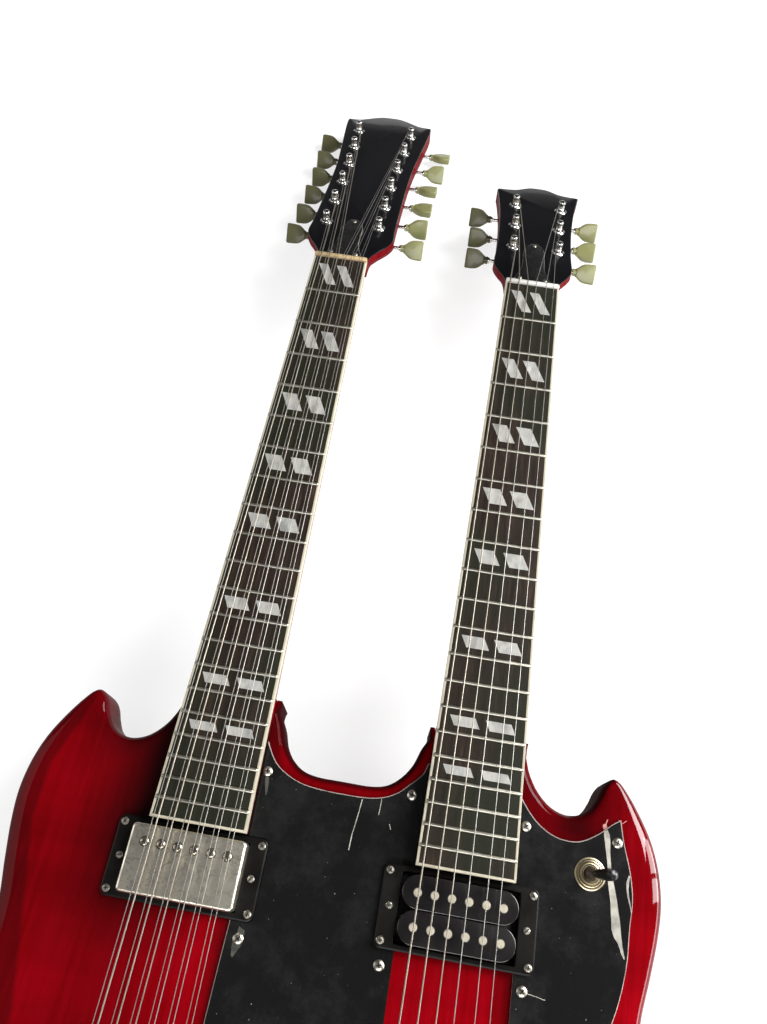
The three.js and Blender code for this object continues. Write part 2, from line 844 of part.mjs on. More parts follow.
// Keystone outline: [share of length, share of half width]
const keystoneShares = [[0, 0.42], [0.2, 0.68], [0.5, 0.93], [0.88, 1], [1, 0.82]];
function buttonSolid(reach) {
  const half = keystoneShares.map(([a, b]) => [collarLength + a * buttonLength, b * buttonHalfWidth]);
  const outline = [...half, ...half.slice().reverse().map(([a, b]) => [a, -b])];
  const geometry = new THREE.ExtrudeGeometry(
    new THREE.Shape(outline.map(([a, b]) => new THREE.Vector2(a, b))),
    {
      depth: buttonThickness - 2 * buttonEdge,
      bevelThickness: buttonEdge,
      bevelSize: buttonEdge,
      bevelOffset: -buttonEdge,
      bevelSegments: 1,
    },
  );
  geometry.translate(reach, 0, buttonEdge - buttonThickness / 2);
  const stem = turned(
    [
      [0, -wormLength / 2],
      [wormRadius, -wormLength / 2],
      [wormRadius, wormLength / 2],
      [shaftRadius, wormLength / 2],
      [shaftRadius, reach],
      [collarRadius, reach],
      [collarRadius, reach + collarLength + buttonEdge * 2],
      [0, reach + collarLength + buttonEdge * 2],
    ],
    6,
  ).rotate([0, 90, 0]);
  return joined(solidOf(geometry), stem);
}

// How far each button was left turned, in degrees: left side then right, from the nut up
const restTurns = {
  12: [-58, -72, -62, -80, -66, -50, 60, 72, -1, -10, 62, -12],
  6: [-64, -70, -60, 60, 48, 66],
};

for (const neck of necks) {
  const group = new THREE.Group();
  group.position.x = neck.x;
  guitar.add(group);
  piece(`neck_${neck.tag}`, neckSolid(neck), cherry, group);
  piece(`fretboard_${neck.tag}`, fretboard(), rosewood, group);
  piece(`nut_and_strings_${neck.tag}`, nutAndStrings(neck), bone, group);
  const head = new THREE.Group();
  head.position.set(0, headStart, neckTop);
  head.rotation.x = -headAngle;
  group.add(head);
  machinePlaces(neck).forEach((m, k) => {
    const side = m.side < 0 ? "left" : "right";
    const name = `${neck.tag}_${side}_${m.i + 1}`;
    const post = piece(`tuner_post_${name}`, postSolid(), nickel, head);
    post.position.set(m.u, m.v, 0);
    const reach = Math.abs(m.edge - Math.abs(m.u)) + shaftReach;
    const button = piece(`tuner_button_${name}`, buttonSolid(reach), agedPlastic, head);
    button.position.set(m.u, m.v + wormOffset, wormLevel);
    button.rotation.set(0, 0, m.side > 0 ? 0 : Math.PI);
    button.rotateX(THREE.MathUtils.degToRad(restTurns[neck.tag][k]));
  });
}

// The pickguard lies over the middle and the six-string side, with a free strip under the strings
const guardShares = [
  [0.63, 0.915],
  [0.6, 0.89],
  [0.51, 0.862],
  [0.42, 0.838],
  [0.28, 0.821],
  [0, 0.816],
  [-0.28, 0.821],
  [-0.42, 0.834],
  [-0.54, 0.857],
  [-0.62, 0.89],
  [-0.66, 0.915],
  [-0.66, 0.69],
  [-0.62, 0.69],
  [-0.615, 0.1],
  [-0.5, 0.045],
  [0, 0.025],
  [0.45, 0.045],
  [0.56, 0.1],
  [1.26, 0.24],
  [1.4, 0.265],
  [1.55, 0.32],
  [1.67, 0.39],
  [1.76, 0.47],
  [1.807, 0.583],
  [1.84, 0.652],
  [1.85, 0.706],
  [1.835, 0.758],
  [1.797, 0.82],
  [1.777, 0.866],
  [1.735, 0.854],
  [1.66, 0.827],
  [1.57, 0.806],
  [1.478, 0.804],
  [1.384, 0.819],
  [1.309, 0.847],
  [1.245, 0.886],
  [1.2, 0.93],
  [0.8, 0.93],
];

function guard() {
  const low = bodyThickness + glueGap;
  const high = bodyThickness + guardThickness;
  const plate = prism(guardShares.map(place), low, high);
  const room = [-neckX, neckX].map((x) => pocketHole(x));
  const twelveRing = prism(
    roundedRect(ringWidth + 2 * gap, ringLength + 2 * gap, ringCorner, 3, twelvePickupX, ringY),
    bodyThickness - gap,
    high + gap,
  );
  const bridgeRings = [twelvePickupX, sixPickupX].map((x) =>
    prism(
      roundedRect(ringWidth + 2 * gap, ringLength + 2 * gap, ringCorner, 3, x, bridgePickupY),
      bodyThickness - gap,
      high + gap,
    ),
  );
  const strip = box(
    neckX - stripHalf,
    neckX + stripHalf,
    -overrun,
    ringY - ringLength / 2 + gap * 4,
    bodyThickness - gap,
    high + gap,
  );
  const switchNuts = togglePlaces.map((p) =>
    bar(toggleNutRadius, low, high + toggleNutHeight, 12).translate([p.x, p.y, 0]),
  );
  const switchHoles = togglePlaces.map((p) =>
    hole(toggleBallRadius + gap, low - gap, high + toggleNutHeight + gap, 8).translate([p.x, p.y, 0]),
  );
  const windows = [pickupCavity([sixPickupX, ringY]), ...bridgeRings];
  return cut(joined(plate, ...switchNuts), ...room, twelveRing, strip, ...windows, ...switchHoles);
}
piece("pickguard", guard(), blackPlastic, guitar);

// Pickup ring: a plate with the pickup's window
function ring(base) {
  const outer = prism(roundedRect(ringWidth, ringLength, ringCorner, 3), base, base + ringHeight);
  const half = [pickupWidth / 2 + gap, pickupLength / 2 + gap];
  const window = box(-half[0], half[0], -half[1], half[1], base - gap, base + ringHeight + gap);
  return cut(outer, window);
}
const onBody = bodyThickness + glueGap;
const onGuard = bodyThickness + guardThickness + glueGap;

function poles(offset, top, sides) {
  return Array.from({ length: courseCount }, (_, i) => {
    const x = (i - (courseCount - 1) / 2) * poleSpacing;
    return bar(poleRadius, top - poleHeight, top + poleHeight, sides).translate([x, offset, 0]);
  });
}

function coveredPickup(top) {
  const shell = prism(
    roundedRect(pickupWidth, pickupLength, ringCorner / 2, 2),
    top - pickupHeight,
    top,
  );
  return joined(shell, ...poles(bobbinLength / 2, top, 6));
}

function openPickup(top) {
  const base = prism(
    roundedRect(pickupWidth, pickupLength, ringCorner / 2, 2),
    top - pickupHeight,
    top - bobbinHeight,
  );
  const bobbinY = (bobbinLength + gap) / 2;
  const bobbins = [-1, 1].map((side) =>
    prism(
      roundedRect(bobbinWidth, bobbinLength, bobbinLength / 2 - gap, 4, 0, side * bobbinY),
      top - bobbinHeight - gap,
      top,
    ),
  );
  const rows = [-1, 1].flatMap((side) => poles((side * (bobbinLength + gap)) / 2, top, 6));
  return joined(base, ...bobbins, ...rows);
}

const at = (mesh, x, y) => mesh.position.set(x, y, 0);
const coveredTop = bodyThickness + coveredPickupTop;
const openTop = bodyThickness + openPickupTop;
at(piece("pickup_ring_12_neck", ring(onBody), blackPlastic, guitar), twelvePickupX, ringY);
at(piece("pickup_ring_6_neck", ring(onGuard), blackPlastic, guitar), sixPickupX, ringY);
at(piece("pickup_12_neck", coveredPickup(coveredTop), nickel, guitar), twelvePickupX, ringY);
at(piece("pickup_6_neck", openPickup(openTop), blackPlastic, guitar), sixPickupX, ringY);

// The bridge pickups stay fixed in their rings
const fixedPickup = (pickup) => {
  const rim = prism(roundedRect(ringWidth, ringLength, ringCorner, 3), onBody, onBody + ringHeight);
  return joined(rim, pickup);
};
const twelveBridgePickup = fixedPickup(coveredPickup(coveredTop));
const sixBridgePickup = fixedPickup(openPickup(openTop));
at(piece("pickup_12_bridge", twelveBridgePickup, nickel, guitar), twelvePickupX, bridgePickupY);
at(piece("pickup_6_bridge", sixBridgePickup, blackPlastic, guitar), sixPickupX, bridgePickupY);

// A bar along X from a section of [y, z] places
function barAlongX(sectionPoints, halfWidth) {
  const shape = new THREE.Shape(sectionPoints.map(([y, z]) => new THREE.Vector2(y, z)));
  const geometry = new THREE.ExtrudeGeometry(shape, { depth: 2 * halfWidth, bevelEnabled: false });
  geometry.rotateX(Math.PI / 2);
  geometry.rotateZ(Math.PI / 2);
  geometry.translate(-halfWidth, 0, 0);
  return solidOf(geometry);
}

const saddleTop = stringAtBridge - stringRadius - gap;
const bridgeTop = saddleTop - saddleHeight;
const bridgeBottom = bridgeTop - bridgeBarHeight;

// A bridge: a bar on two posts with thumbwheels, and one saddle to a course
function bridge(neck) {
  const half = bridgeLength / 2;
  const edge = bridgeBarHeight / 4;
  const rail = barAlongX(
    [
      [-half, bridgeBottom],
      [half, bridgeBottom],
      [half, bridgeTop - edge],
      [half - edge, bridgeTop],
      [-half + edge, bridgeTop],
      [-half, bridgeTop - edge],
    ],
    bridgeWidth / 2,
  );
  const posts = [-1, 1].map((side) =>
    turned(
      [
        [0, onBody],
        [bridgePostRadius, onBody],
        [bridgePostRadius, bridgeBottom - thumbwheelHeight],
        [thumbwheelRadius, bridgeBottom - thumbwheelHeight],
        [thumbwheelRadius, bridgeBottom + gap],
        [0, bridgeBottom + gap],
      ],
      12,
    ).translate([(side * bridgePostSpan) / 2, 0, 0]),
  );
  const saddles = Array.from({ length: courseCount }, (_, c) => {
    const x = neck.bridgeShift + neck.bridgeSpread * (neck.courseShares[c] - 0.5);
    return barAlongX(
      [
        [-saddleLength / 2, bridgeTop - gap],
        [saddleLength / 2, bridgeTop - gap],
        [gap, saddleTop],
        [-gap, saddleTop],
      ],
      saddleWidth / 2,
    ).translate([x, 0, 0]);
  });
  return joined(rail, ...posts, ...saddles);
}

// A stop tailpiece: a rounded bar on two studs
const tailpieceShares = [
  [-0.5, 0.3],
  [-0.3, 0],
  [0.3, 0],
  [0.5, 0.3],
  [0.5, 0.7],
  [0.34, 0.92],
  [0.1, 1],
  [-0.15, 0.97],
  [-0.38, 0.8],
  [-0.5, 0.55],
];
function tailpiece() {
  const base = bodyThickness + tailpieceLift;
  const points = tailpieceShares.map(([y, z]) => {
    return [tailpieceY + y * tailpieceLength, base + z * tailpieceHeight];
  });
  const studs = [-1, 1].map((side) =>
    turned(
      [
        [0, onBody],
        [tailpieceStudRadius * 1.2, onBody],
        [tailpieceStudRadius, base],
        [tailpieceStudRadius, base + tailpieceHeight + gap * 2],
        [0, base + tailpieceHeight + gap * 2],
      ],
      12,
    ).translate([(side * tailpieceStudSpan) / 2, tailpieceY, 0]),
  );
  return joined(barAlongX(points, tailpieceWidth / 2), ...studs);
}

for (const neck of necks) {
  at(piece(`bridge_${neck.tag}`, bridge(neck), nickel, guitar), neck.x, 0);
  at(piece(`tailpiece_${neck.tag}`, tailpiece(), nickel, guitar), neck.x, 0);
}

// A knob with its shaft; its underside is at zero height
function knob() {
  return turned(
    [
      [0, -knobShaftLength],
      [knobShaftRadius, -knobShaftLength],
      [knobShaftRadius, 0],
      [knobRadius, 0],
      [knobRadius, knobSkirt * 0.35],
      [knobRadius * 0.8, knobSkirt],
      [knobRadius * 0.72, knobHeight * 0.93],
      [knobRadius * 0.66, knobHeight],
      [0, knobHeight],
    ],
    16,
  );
}
knobPlaces.forEach((p, i) => {
  const mesh = piece(`knob_${i + 1}`, knob(), blackPlastic, guitar);
  mesh.position.set(p.x, p.y, bodyThickness + gap);
});

// A switch lever about the centre of its ball
function lever() {
  const r = toggleBallRadius;
  const tipStart = toggleReach - toggleTipLength;
  return turned(
    [
      [0, -r],
      [r * Math.SQRT1_2, -r * Math.SQRT1_2],
      [r, 0],
      [r * Math.SQRT1_2, r * Math.SQRT1_2],
      [toggleStemRadius, r * 0.9],
      [toggleStemRadius, tipStart],
      [toggleTipRadius * 0.75, tipStart],
      [toggleTipRadius, tipStart + toggleTipLength * 0.55],
      [toggleTipRadius * 0.85, toggleReach - toggleTipRadius * 0.35],
      [toggleTipRadius * 0.4, toggleReach],
      [0, toggleReach],
    ],
    10,
  );
}
const togglePivot = bodyThickness + guardThickness + toggleNutHeight / 2;
["pickup_selector", "neck_selector"].forEach((name, i) => {
  const mesh = piece(name, lever(), blackPlastic, guitar);
  mesh.position.set(togglePlaces[i].x, togglePlaces[i].y, togglePivot);
  mesh.rotation.y = toggleSwing;
});

export default guitar;
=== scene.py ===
"""Double-neck guitar: the pieces, finishes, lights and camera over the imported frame."""

from math import cos, degrees, pi, radians, sin, sqrt, tan

import bpy
from mathutils import Matrix, Vector


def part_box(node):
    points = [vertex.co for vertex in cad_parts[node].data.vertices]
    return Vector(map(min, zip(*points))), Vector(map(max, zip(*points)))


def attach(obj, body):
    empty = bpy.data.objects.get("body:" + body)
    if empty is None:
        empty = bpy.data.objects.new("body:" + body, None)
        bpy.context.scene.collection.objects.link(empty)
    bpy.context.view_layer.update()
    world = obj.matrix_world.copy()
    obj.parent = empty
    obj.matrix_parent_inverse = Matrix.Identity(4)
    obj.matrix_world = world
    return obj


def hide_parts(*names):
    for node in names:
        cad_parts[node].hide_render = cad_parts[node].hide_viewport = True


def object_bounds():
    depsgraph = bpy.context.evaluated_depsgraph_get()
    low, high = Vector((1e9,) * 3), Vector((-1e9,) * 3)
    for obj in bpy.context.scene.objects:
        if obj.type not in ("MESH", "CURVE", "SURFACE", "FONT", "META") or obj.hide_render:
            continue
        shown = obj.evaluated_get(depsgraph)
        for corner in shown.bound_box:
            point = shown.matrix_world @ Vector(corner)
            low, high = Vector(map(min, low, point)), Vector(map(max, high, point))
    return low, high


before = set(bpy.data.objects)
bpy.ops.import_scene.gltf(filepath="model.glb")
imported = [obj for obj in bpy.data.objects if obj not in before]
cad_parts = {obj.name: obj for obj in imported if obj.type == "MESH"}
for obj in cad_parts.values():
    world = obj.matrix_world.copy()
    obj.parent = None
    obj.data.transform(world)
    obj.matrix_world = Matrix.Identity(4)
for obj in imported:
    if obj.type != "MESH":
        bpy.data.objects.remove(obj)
cad_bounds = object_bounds()

# Sizes in millimetres, as in the part's source
MM = 0.001
NECK_X = 79.3
SCALE_LENGTH = 628.65
BOARD_END = 186.65
HEEL = 268.5
NECK_TOP = 46.5
BOARD_TOP = 52.5
BODY_TOP = 38.0
HALF_WIDTH = 196.0
TAIL = 165.0
NUT_WIDTH = 43.2
END_WIDTH = 58.2
NUT_BACK = 633.65
HEAD_START = 633.95
HEAD_ANGLE = radians(15)
HEAD_DEPTH = 14.5
STRING_AT_NUT = 54.3
STRING_AT_BRIDGE = 57.5
RING_Y = 163.55
BRIDGE_PICKUP_Y = 27.0
TWELVE_PICKUP_X = -82.5
SIX_PICKUP_X = 78.4
RING_SIZE = (91.0, 45.0)
PICKUP_SIZE = (68.6, 37.6)
GUARD_TOP = 40.4
WORM_OFFSET = 6.7
WORM_LEVEL = -20.4
# Thin things: the gap under a laid-on piece, the least radius of a turned one, how far a mark stands proud
SEAT = 0.05
PIN = 0.004
PROUD = 0.04


# ---------------------------------------------------------------- materials

def node_of(tree, kind, **values):
    node = tree.nodes.new(kind)
    for key, value in values.items():
        setattr(node, key, value)
    return node


def feed(tree, socket, value):
    """Sets a socket to a number or a colour, or links another socket to it."""
    if isinstance(value, (int, float)):
        socket.default_value = value
    elif isinstance(value, tuple):
        socket.default_value = (*value, 1)
    else:
        tree.links.new(value, socket)


def paint(material, socket, value):
    """Links a value to an input of the material's shader."""
    tree = material.node_tree
    tree.links.new(value, tree.nodes["Principled BSDF"].inputs[socket])


def noise(tree, scale, detail=3.0, stretch=None, rough=0.5):
    """Noise in object space, which is the row frame, so that it rides with the piece."""
    place = node_of(tree, "ShaderNodeTexCoord").outputs["Object"]
    pattern = node_of(tree, "ShaderNodeTexNoise")
    for name, value in (("Scale", scale), ("Detail", detail), ("Roughness", rough)):
        pattern.inputs[name].default_value = value
    if stretch:
        mapping = node_of(tree, "ShaderNodeMapping")
        mapping.inputs["Scale"].default_value = stretch
        tree.links.new(place, mapping.inputs["Vector"])
        place = mapping.outputs["Vector"]
    tree.links.new(place, pattern.inputs["Vector"])
    return pattern.outputs["Fac"]


def ramp(tree, value, stops):
    """Maps a value to colours given as (place, colour)."""
    node = node_of(tree, "ShaderNodeValToRGB")
    elements = node.color_ramp.elements
    while len(elements) < len(stops):
        elements.new(0.5)
    for element, (where, colour) in zip(elements, stops):
        element.position = where
        element.color = (*colour, 1)
    tree.links.new(value, node.inputs["Fac"])
    return node.outputs["Color"]


def mix(tree, share, first, second, kind="MIX"):
    node = node_of(tree, "ShaderNodeMix", data_type="RGBA", blend_type=kind)
    for index, value in ((0, share), (6, first), (7, second)):
        feed(tree, node.inputs[index], value)
    return node.outputs[2]


def remap(tree, value, low, high, to_low=0.0, to_high=1.0):
    node = node_of(tree, "ShaderNodeMapRange")
    for name, number in (("From Min", low), ("From Max", high), ("To Min", to_low), ("To Max", to_high)):
        node.inputs[name].default_value = number
    tree.links.new(value, node.inputs["Value"])
    return node.outputs["Result"]


def maths(tree, kind, first, second=0.0):
    node = node_of(tree, "ShaderNodeMath", operation=kind)
    for socket, value in zip(node.inputs, (first, second)):
        feed(tree, socket, value)
    return node.outputs[0]


def times(tree, first, second):
    return maths(tree, "MULTIPLY", first, second)


def plus(tree, first, second):
    return maths(tree, "ADD", first, second)


def larger(tree, first, second):
    return maths(tree, "MAXIMUM", first, second)


def distance(tree, value, centre):
    return maths(tree, "ABSOLUTE", maths(tree, "SUBTRACT", value, centre))


def parts_of(tree, kind, output):
    """The three parts of a place or of a surface's direction."""
    parts = node_of(tree, "ShaderNodeSeparateXYZ")
    tree.links.new(node_of(tree, kind).outputs[output], parts.inputs[0])
    return parts.outputs


def finish(name, colour, roughness, metal=0.0, coat=0.0, coat_rough=0.05, mottle=0.12, grain=60.0,
           specular=0.5, stretch=None):
    """A plain finish: colour and roughness vary a little with noise, and the coat is a clear gloss."""
    material = bpy.data.materials.new(name)
    material.use_nodes = True
    tree = material.node_tree
    inputs = tree.nodes["Principled BSDF"].inputs
    inputs["Metallic"].default_value = metal
    inputs["Coat Weight"].default_value = coat
    inputs["Coat Roughness"].default_value = coat_rough
    inputs["Specular IOR Level"].default_value = specular
    pattern = noise(tree, grain, stretch=stretch)
    dark, light = (tuple(min(1.0, c * share) for c in colour) for share in (1 - mottle, 1 + mottle))
    paint(material, "Base Color", ramp(tree, pattern, [(0.3, dark), (0.7, light)]))
    rough = remap(tree, pattern, 0.25, 0.75, roughness * 0.8, min(1.0, roughness * 1.25))
    paint(material, "Roughness", rough)
    return material


CHERRY_STOPS = [
    (0.25, (0.128, 0.0002, 0.0012)), (0.5, (0.165, 0.0004, 0.0025)), (0.8, (0.20, 0.0008, 0.0045)),
]
# The dark red of the painted shade on the body
SHADE_DARK = (0.012, 0.001, 0.0015)
# Bands of painted shade and shadow along the body, in metres: middle across, reach, depth, and where they
# fade in along it.
# They lie beside the paired neck, in the left cutaway, beside the guard, in the right cutaway and below it
SHADE_BANDS = [
    (-0.112, 0.046, 0.98, 0.098, 0.172), (-0.130, 0.046, 0.92, 0.19, 0.235),
    (-0.046, 0.012, 0.6, 0.03, 0.06), (0.143, 0.042, 0.85, 0.198, 0.222), (0.113, 0.012, 0.55, 0.06, 0.14),
]
# The inner border of the left edge's band of painted shade: where it starts across, and its steps (from, to,
# step) along
BORDER_START = 0.157
BORDER_STEPS = [(0.078, 0.175, 0.024), (0.208, 0.25, -0.0155), (0.06, -0.03, 0.028)]


def cherry_lacquer():
    """Clear red over wood: grain along the body, painted shade on the bevel, at the left edge and beside the
    necks and guard, and painted light below the paired neck.
    """
    material = finish(
        "cherry_lacquer_gloss", (0.2, 0.002, 0.006), 0.3, coat=1.0, coat_rough=0.03, specular=0.0,
    )
    tree = material.node_tree
    tree.nodes["Principled BSDF"].inputs["Coat IOR"].default_value = 1.42
    grain = noise(tree, 26, detail=6, stretch=(9.0, 0.55, 1.0), rough=0.6)
    cloud = noise(tree, 9, detail=2, stretch=(1.3, 0.6, 1.0))
    figure = remap(tree, noise(tree, 8, detail=3, stretch=(0.6, 4.0, 1.0)), 0.35, 0.65, 0.7, 1.0)
    wood = mix(tree, 1.0, ramp(tree, grain, CHERRY_STOPS), figure, "MULTIPLY")
    across, along, _ = parts_of(tree, "ShaderNodeTexCoord", "Object")
    sideways, _, upward = parts_of(tree, "ShaderNodeNewGeometry", "Normal")
    wavy = plus(tree, across, times(tree, maths(tree, "SUBTRACT", cloud, 0.5), 0.03))

    # Painted shade: the bevel is darker at the left and where it faces away from the window
    leftward = remap(tree, across, 0.12, -0.05, 0.35, 0.92)
    away_from_light = remap(tree, sideways, 0.1, -0.35, 0.0, 0.92)
    shade = times(tree, remap(tree, upward, 0.985, 0.75), larger(tree, leftward, away_from_light))
    shade = times(tree, shade, remap(tree, across, -0.13, -0.15, 1.0, 0.5))
    # Painted shade and shadow in bands beside the necks and the guard and in the cutaways, and along the left
    # edge
    for centre, reach, depth, low, high in SHADE_BANDS:
        band = remap(tree, distance(tree, wavy, centre), 0.004, reach, depth, 0.0)
        shade = larger(tree, shade, times(tree, band, remap(tree, along, low, high)))
    inside = plus(tree, across, BORDER_START)
    for start, end, step in BORDER_STEPS:
        inside = plus(tree, inside, remap(tree, along, start, end, 0.0, step))
    shade = larger(tree, shade, remap(tree, inside, 0.0015, -0.0015, 0.0, 0.5))

    # Painted light: the wood is made brighter below the paired neck and to its right
    lower = times(tree, remap(tree, across, -0.115, -0.065, 0.0, 0.45), remap(tree, along, 0.19, 0.13))
    wood = mix(tree, 1.0, wood, plus(tree, lower, 1.0), "MULTIPLY")
    # The painted shade mixes the wood towards the dark red
    paint(material, "Base Color", mix(tree, shade, wood, SHADE_DARK))

    # The gloss is full on the right rim only, and duller on the slopes at the left
    right_rim = times(tree, remap(tree, across, 0.1, 0.18), remap(tree, sideways, -0.12, 0.02))
    gloss = times(tree, remap(tree, upward, 0.93, 0.995, 0.0, 0.4), remap(tree, sideways, -0.1, -0.02))
    gloss = plus(tree, gloss, remap(tree, across, -0.08, -0.12, 0.04, 0.24))
    paint(material, "Coat Weight", larger(tree, gloss, right_rim))
    return material


def neck_cherry():
    """The necks' red, with painted shade towards the heel beside the pickguard."""
    grained = (8.0, 0.5, 1.0)
    material = finish(
        "neck_cherry", (0.115, 0.001, 0.003), 0.5, specular=0.0, coat=0.1, coat_rough=0.1, stretch=grained,
    )
    tree = material.node_tree
    stops = [(0.3, (0.09, 0.0008, 0.0023)), (0.7, (0.14, 0.0012, 0.0037))]
    wood = ramp(tree, noise(tree, 30, stretch=grained), stops)
    along = parts_of(tree, "ShaderNodeTexCoord", "Object")[1]
    # Painted shade: the red darkens towards the heel, beside the pickguard
    painted_shade = remap(tree, along, 0.262, 0.24, 0.0, 0.9)
    paint(material, "Base Color", mix(tree, painted_shade, wood, (0.01, 0.004, 0.004)))
    return material


def pearl():
    material = finish("pearl_inlay", (0.72, 0.73, 0.72), 0.25, coat=0.4, coat_rough=0.1)
    tree = material.node_tree
    swirl = noise(tree, 120, detail=4, stretch=(1.0, 0.45, 1.0))
    stops = [
        (0.3, (0.24, 0.24, 0.23)), (0.48, (0.42, 0.41, 0.38)),
        (0.6, (0.33, 0.33, 0.32)), (0.75, (0.54, 0.53, 0.49)),
    ]
    paint(material, "Base Color", ramp(tree, swirl, stops))
    return material


def scuffed_black():
    """The pickguard's black: dust specks, fine scratches and small dull patches."""
    material = finish("guard_black", (0.008, 0.008, 0.008), 0.3, coat=0.25, coat_rough=0.1, specular=0.22)
    tree = material.node_tree
    specks = remap(tree, noise(tree, 520, detail=1), 0.77, 0.81)
    lines = remap(tree, noise(tree, 240, detail=2, stretch=(14.0, 0.6, 1.0)), 0.74, 0.8, 0.0, 0.2)
    patches = remap(tree, noise(tree, 40, detail=5, rough=0.7), 0.45, 0.75)
    base = mix(tree, patches, (0.006, 0.006, 0.006), (0.013, 0.013, 0.013))
    paint(material, "Base Color", mix(tree, larger(tree, specks, lines), base, (0.16, 0.16, 0.15)))
    paint(material, "Roughness", remap(tree, patches, 0, 1, 0.22, 0.36))
    return material


def rosewood():
    material = finish("rosewood_board", (0.03, 0.02, 0.017), 0.55, specular=0.14)
    tree = material.node_tree
    grain = noise(tree, 70, detail=8, stretch=(6.0, 0.5, 1.0), rough=0.7)
    stops = [(0.3, (0.006, 0.004, 0.003)), (0.55, (0.024, 0.015, 0.011)), (0.75, (0.062, 0.035, 0.024))]
    wood = ramp(tree, grain, stops)
    greenish = remap(tree, noise(tree, 14, detail=2), 0.4, 0.6, 0.0, 0.8)
    paint(material, "Base Color", mix(tree, greenish, wood, (0.012, 0.015, 0.008)))
    relief = node_of(tree, "ShaderNodeBump")
    relief.inputs["Strength"].default_value = 0.25
    relief.inputs["Distance"].default_value = 0.0003
    tree.links.new(grain, relief.inputs["Height"])
    paint(material, "Normal", relief.outputs["Normal"])
    return material


def tarnished(name, colour, roughness, spots, scale, dullness=0.74, stain=0.0):
    """Plated metal with duller, darker patches and, where stain is given, the thin rims of dried stains."""
    material = finish(name, colour, roughness, metal=1.0)
    tree = material.node_tree
    patches = noise(tree, scale, detail=4, rough=0.55)
    base = ramp(tree, patches, [(0.42, tuple(c * dullness for c in colour)), (0.56, colour)])
    if stain:
        for size in (85, 150):
            off = distance(tree, noise(tree, size, detail=2, rough=0.6), 0.53)
            base = mix(tree, remap(tree, off, 0.0, 0.022, stain, 0.0), base, tuple(c * 0.42 for c in colour))
    paint(material, "Base Color", base)
    paint(material, "Roughness", remap(tree, patches, 0.3, 0.7, roughness + spots, roughness))
    return material


CHERRY = cherry_lacquer()
NECK_CHERRY = neck_cherry()
HEAD_BLACK = finish(
    "headstock_black", (0.003, 0.003, 0.004), 0.3, specular=0.08, coat=0.24, coat_rough=0.04,
    mottle=0.2, grain=9,
)
BLACK = finish("black_plastic_gloss", (0.008, 0.008, 0.008), 0.26, coat=0.2, mottle=0.25, specular=0.3)
RING_BLACK = finish("ring_black", (0.007, 0.0065, 0.006), 0.34, mottle=0.3, specular=0.12)
BOBBIN_BLACK = finish("bobbin_black", (0.009, 0.008, 0.008), 0.2, coat=0.25, mottle=0.3)
GUARD = scuffed_black()
GUARD_EDGE = finish("guard_edge_ply", (0.40, 0.33, 0.30), 0.5, mottle=0.3, grain=150)
TORN = finish("torn_ply", (0.30, 0.285, 0.245), 0.7, mottle=0.45, grain=180)
SCUFF = finish("scuffed_ply", (0.036, 0.036, 0.028), 0.55, mottle=0.35, grain=200)
CHIP = finish("chipped_lacquer", (0.55, 0.24, 0.2), 0.6, mottle=0.2, grain=200)
ROSEWOOD = rosewood()
BINDING = finish("cream_binding", (0.46, 0.42, 0.32), 0.4, coat=0.15, mottle=0.12)
NUT_CREAM = finish("nut_cream", (0.42, 0.30, 0.15), 0.45, coat=0.2, mottle=0.12)
NUT_WHITE = finish("nut_white", (0.58, 0.57, 0.52), 0.4, coat=0.2, mottle=0.06)
FRET_METAL = finish("fret_metal", (0.40, 0.38, 0.32), 0.38, metal=1.0, mottle=0.15)
PEARL = pearl()
STRING_PLAIN = finish("string_plain", (0.40, 0.39, 0.36), 0.36, metal=1.0, mottle=0.03)
STRING_DIM = finish("string_dim", (0.24, 0.23, 0.21), 0.45, metal=1.0, mottle=0.03)
STRING_WOUND = finish("string_wound", (0.34, 0.31, 0.26), 0.42, metal=1.0, mottle=0.05)
NICKEL = tarnished("nickel_cover_worn", (0.94, 0.88, 0.74), 0.3, 0.12, 60, 0.66, 0.55)
CHROME = finish("chrome_bright", (0.46, 0.45, 0.43), 0.2, metal=1.0, mottle=0.08)
BRIDGE_METAL = tarnished("bridge_nickel", (0.58, 0.56, 0.50), 0.2, 0.1, 90)
STEEL = tarnished("screw_steel", (0.55, 0.52, 0.44), 0.28, 0.15, 200)
# Near black: painted shade in slots, holes and recesses
RECESS_SHADE = finish("painted_recess_shade", (0.012, 0.011, 0.010), 0.8)
POLE = finish("pole_steel", (0.46, 0.40, 0.31), 0.26, metal=1.0, mottle=0.3, grain=200)
POLE_FLAT = finish("pole_steel_flat", (0.40, 0.36, 0.28), 0.55, metal=0.3, mottle=0.14, grain=400)
GREEN = finish(
    "aged_green_button", (0.19, 0.195, 0.08), 0.36, coat=0.2, coat_rough=0.1, specular=0.3,
    mottle=0.16, grain=45,
)
# Dark brown: painted shade in the selector washers' grooves and throats, and the colour of the levers' stems
THROAT = finish("selector_throat", (0.035, 0.022, 0.014), 0.4)
# A darker copy of the buttons' green for the left side: painted shade
GREEN_SHADED = finish(
    "shaded_olive_button", (0.07, 0.068, 0.03), 0.4, coat=0.12, coat_rough=0.12, specular=0.25,
    mottle=0.22, grain=45,
)
BRASS_PALE = finish("washer_gold", (0.66, 0.56, 0.36), 0.34, metal=1.0, mottle=0.14)


# ---------------------------------------------------------------- shapes
# A shape is (points, faces): points are Vectors in millimetres in the row frame

def merged(*shapes):
    points, faces = [], []
    for some_points, some_faces in shapes:
        start = len(points)
        points.extend(some_points)
        faces.extend(tuple(start + i for i in face) for face in some_faces)
    return points, faces


def moved(shape, matrix):
    return [matrix @ p for p in shape[0]], shape[1]


def shifted(shape, x=0.0, y=0.0, z=0.0):
    return moved(shape, Matrix.Translation((x, y, z)))


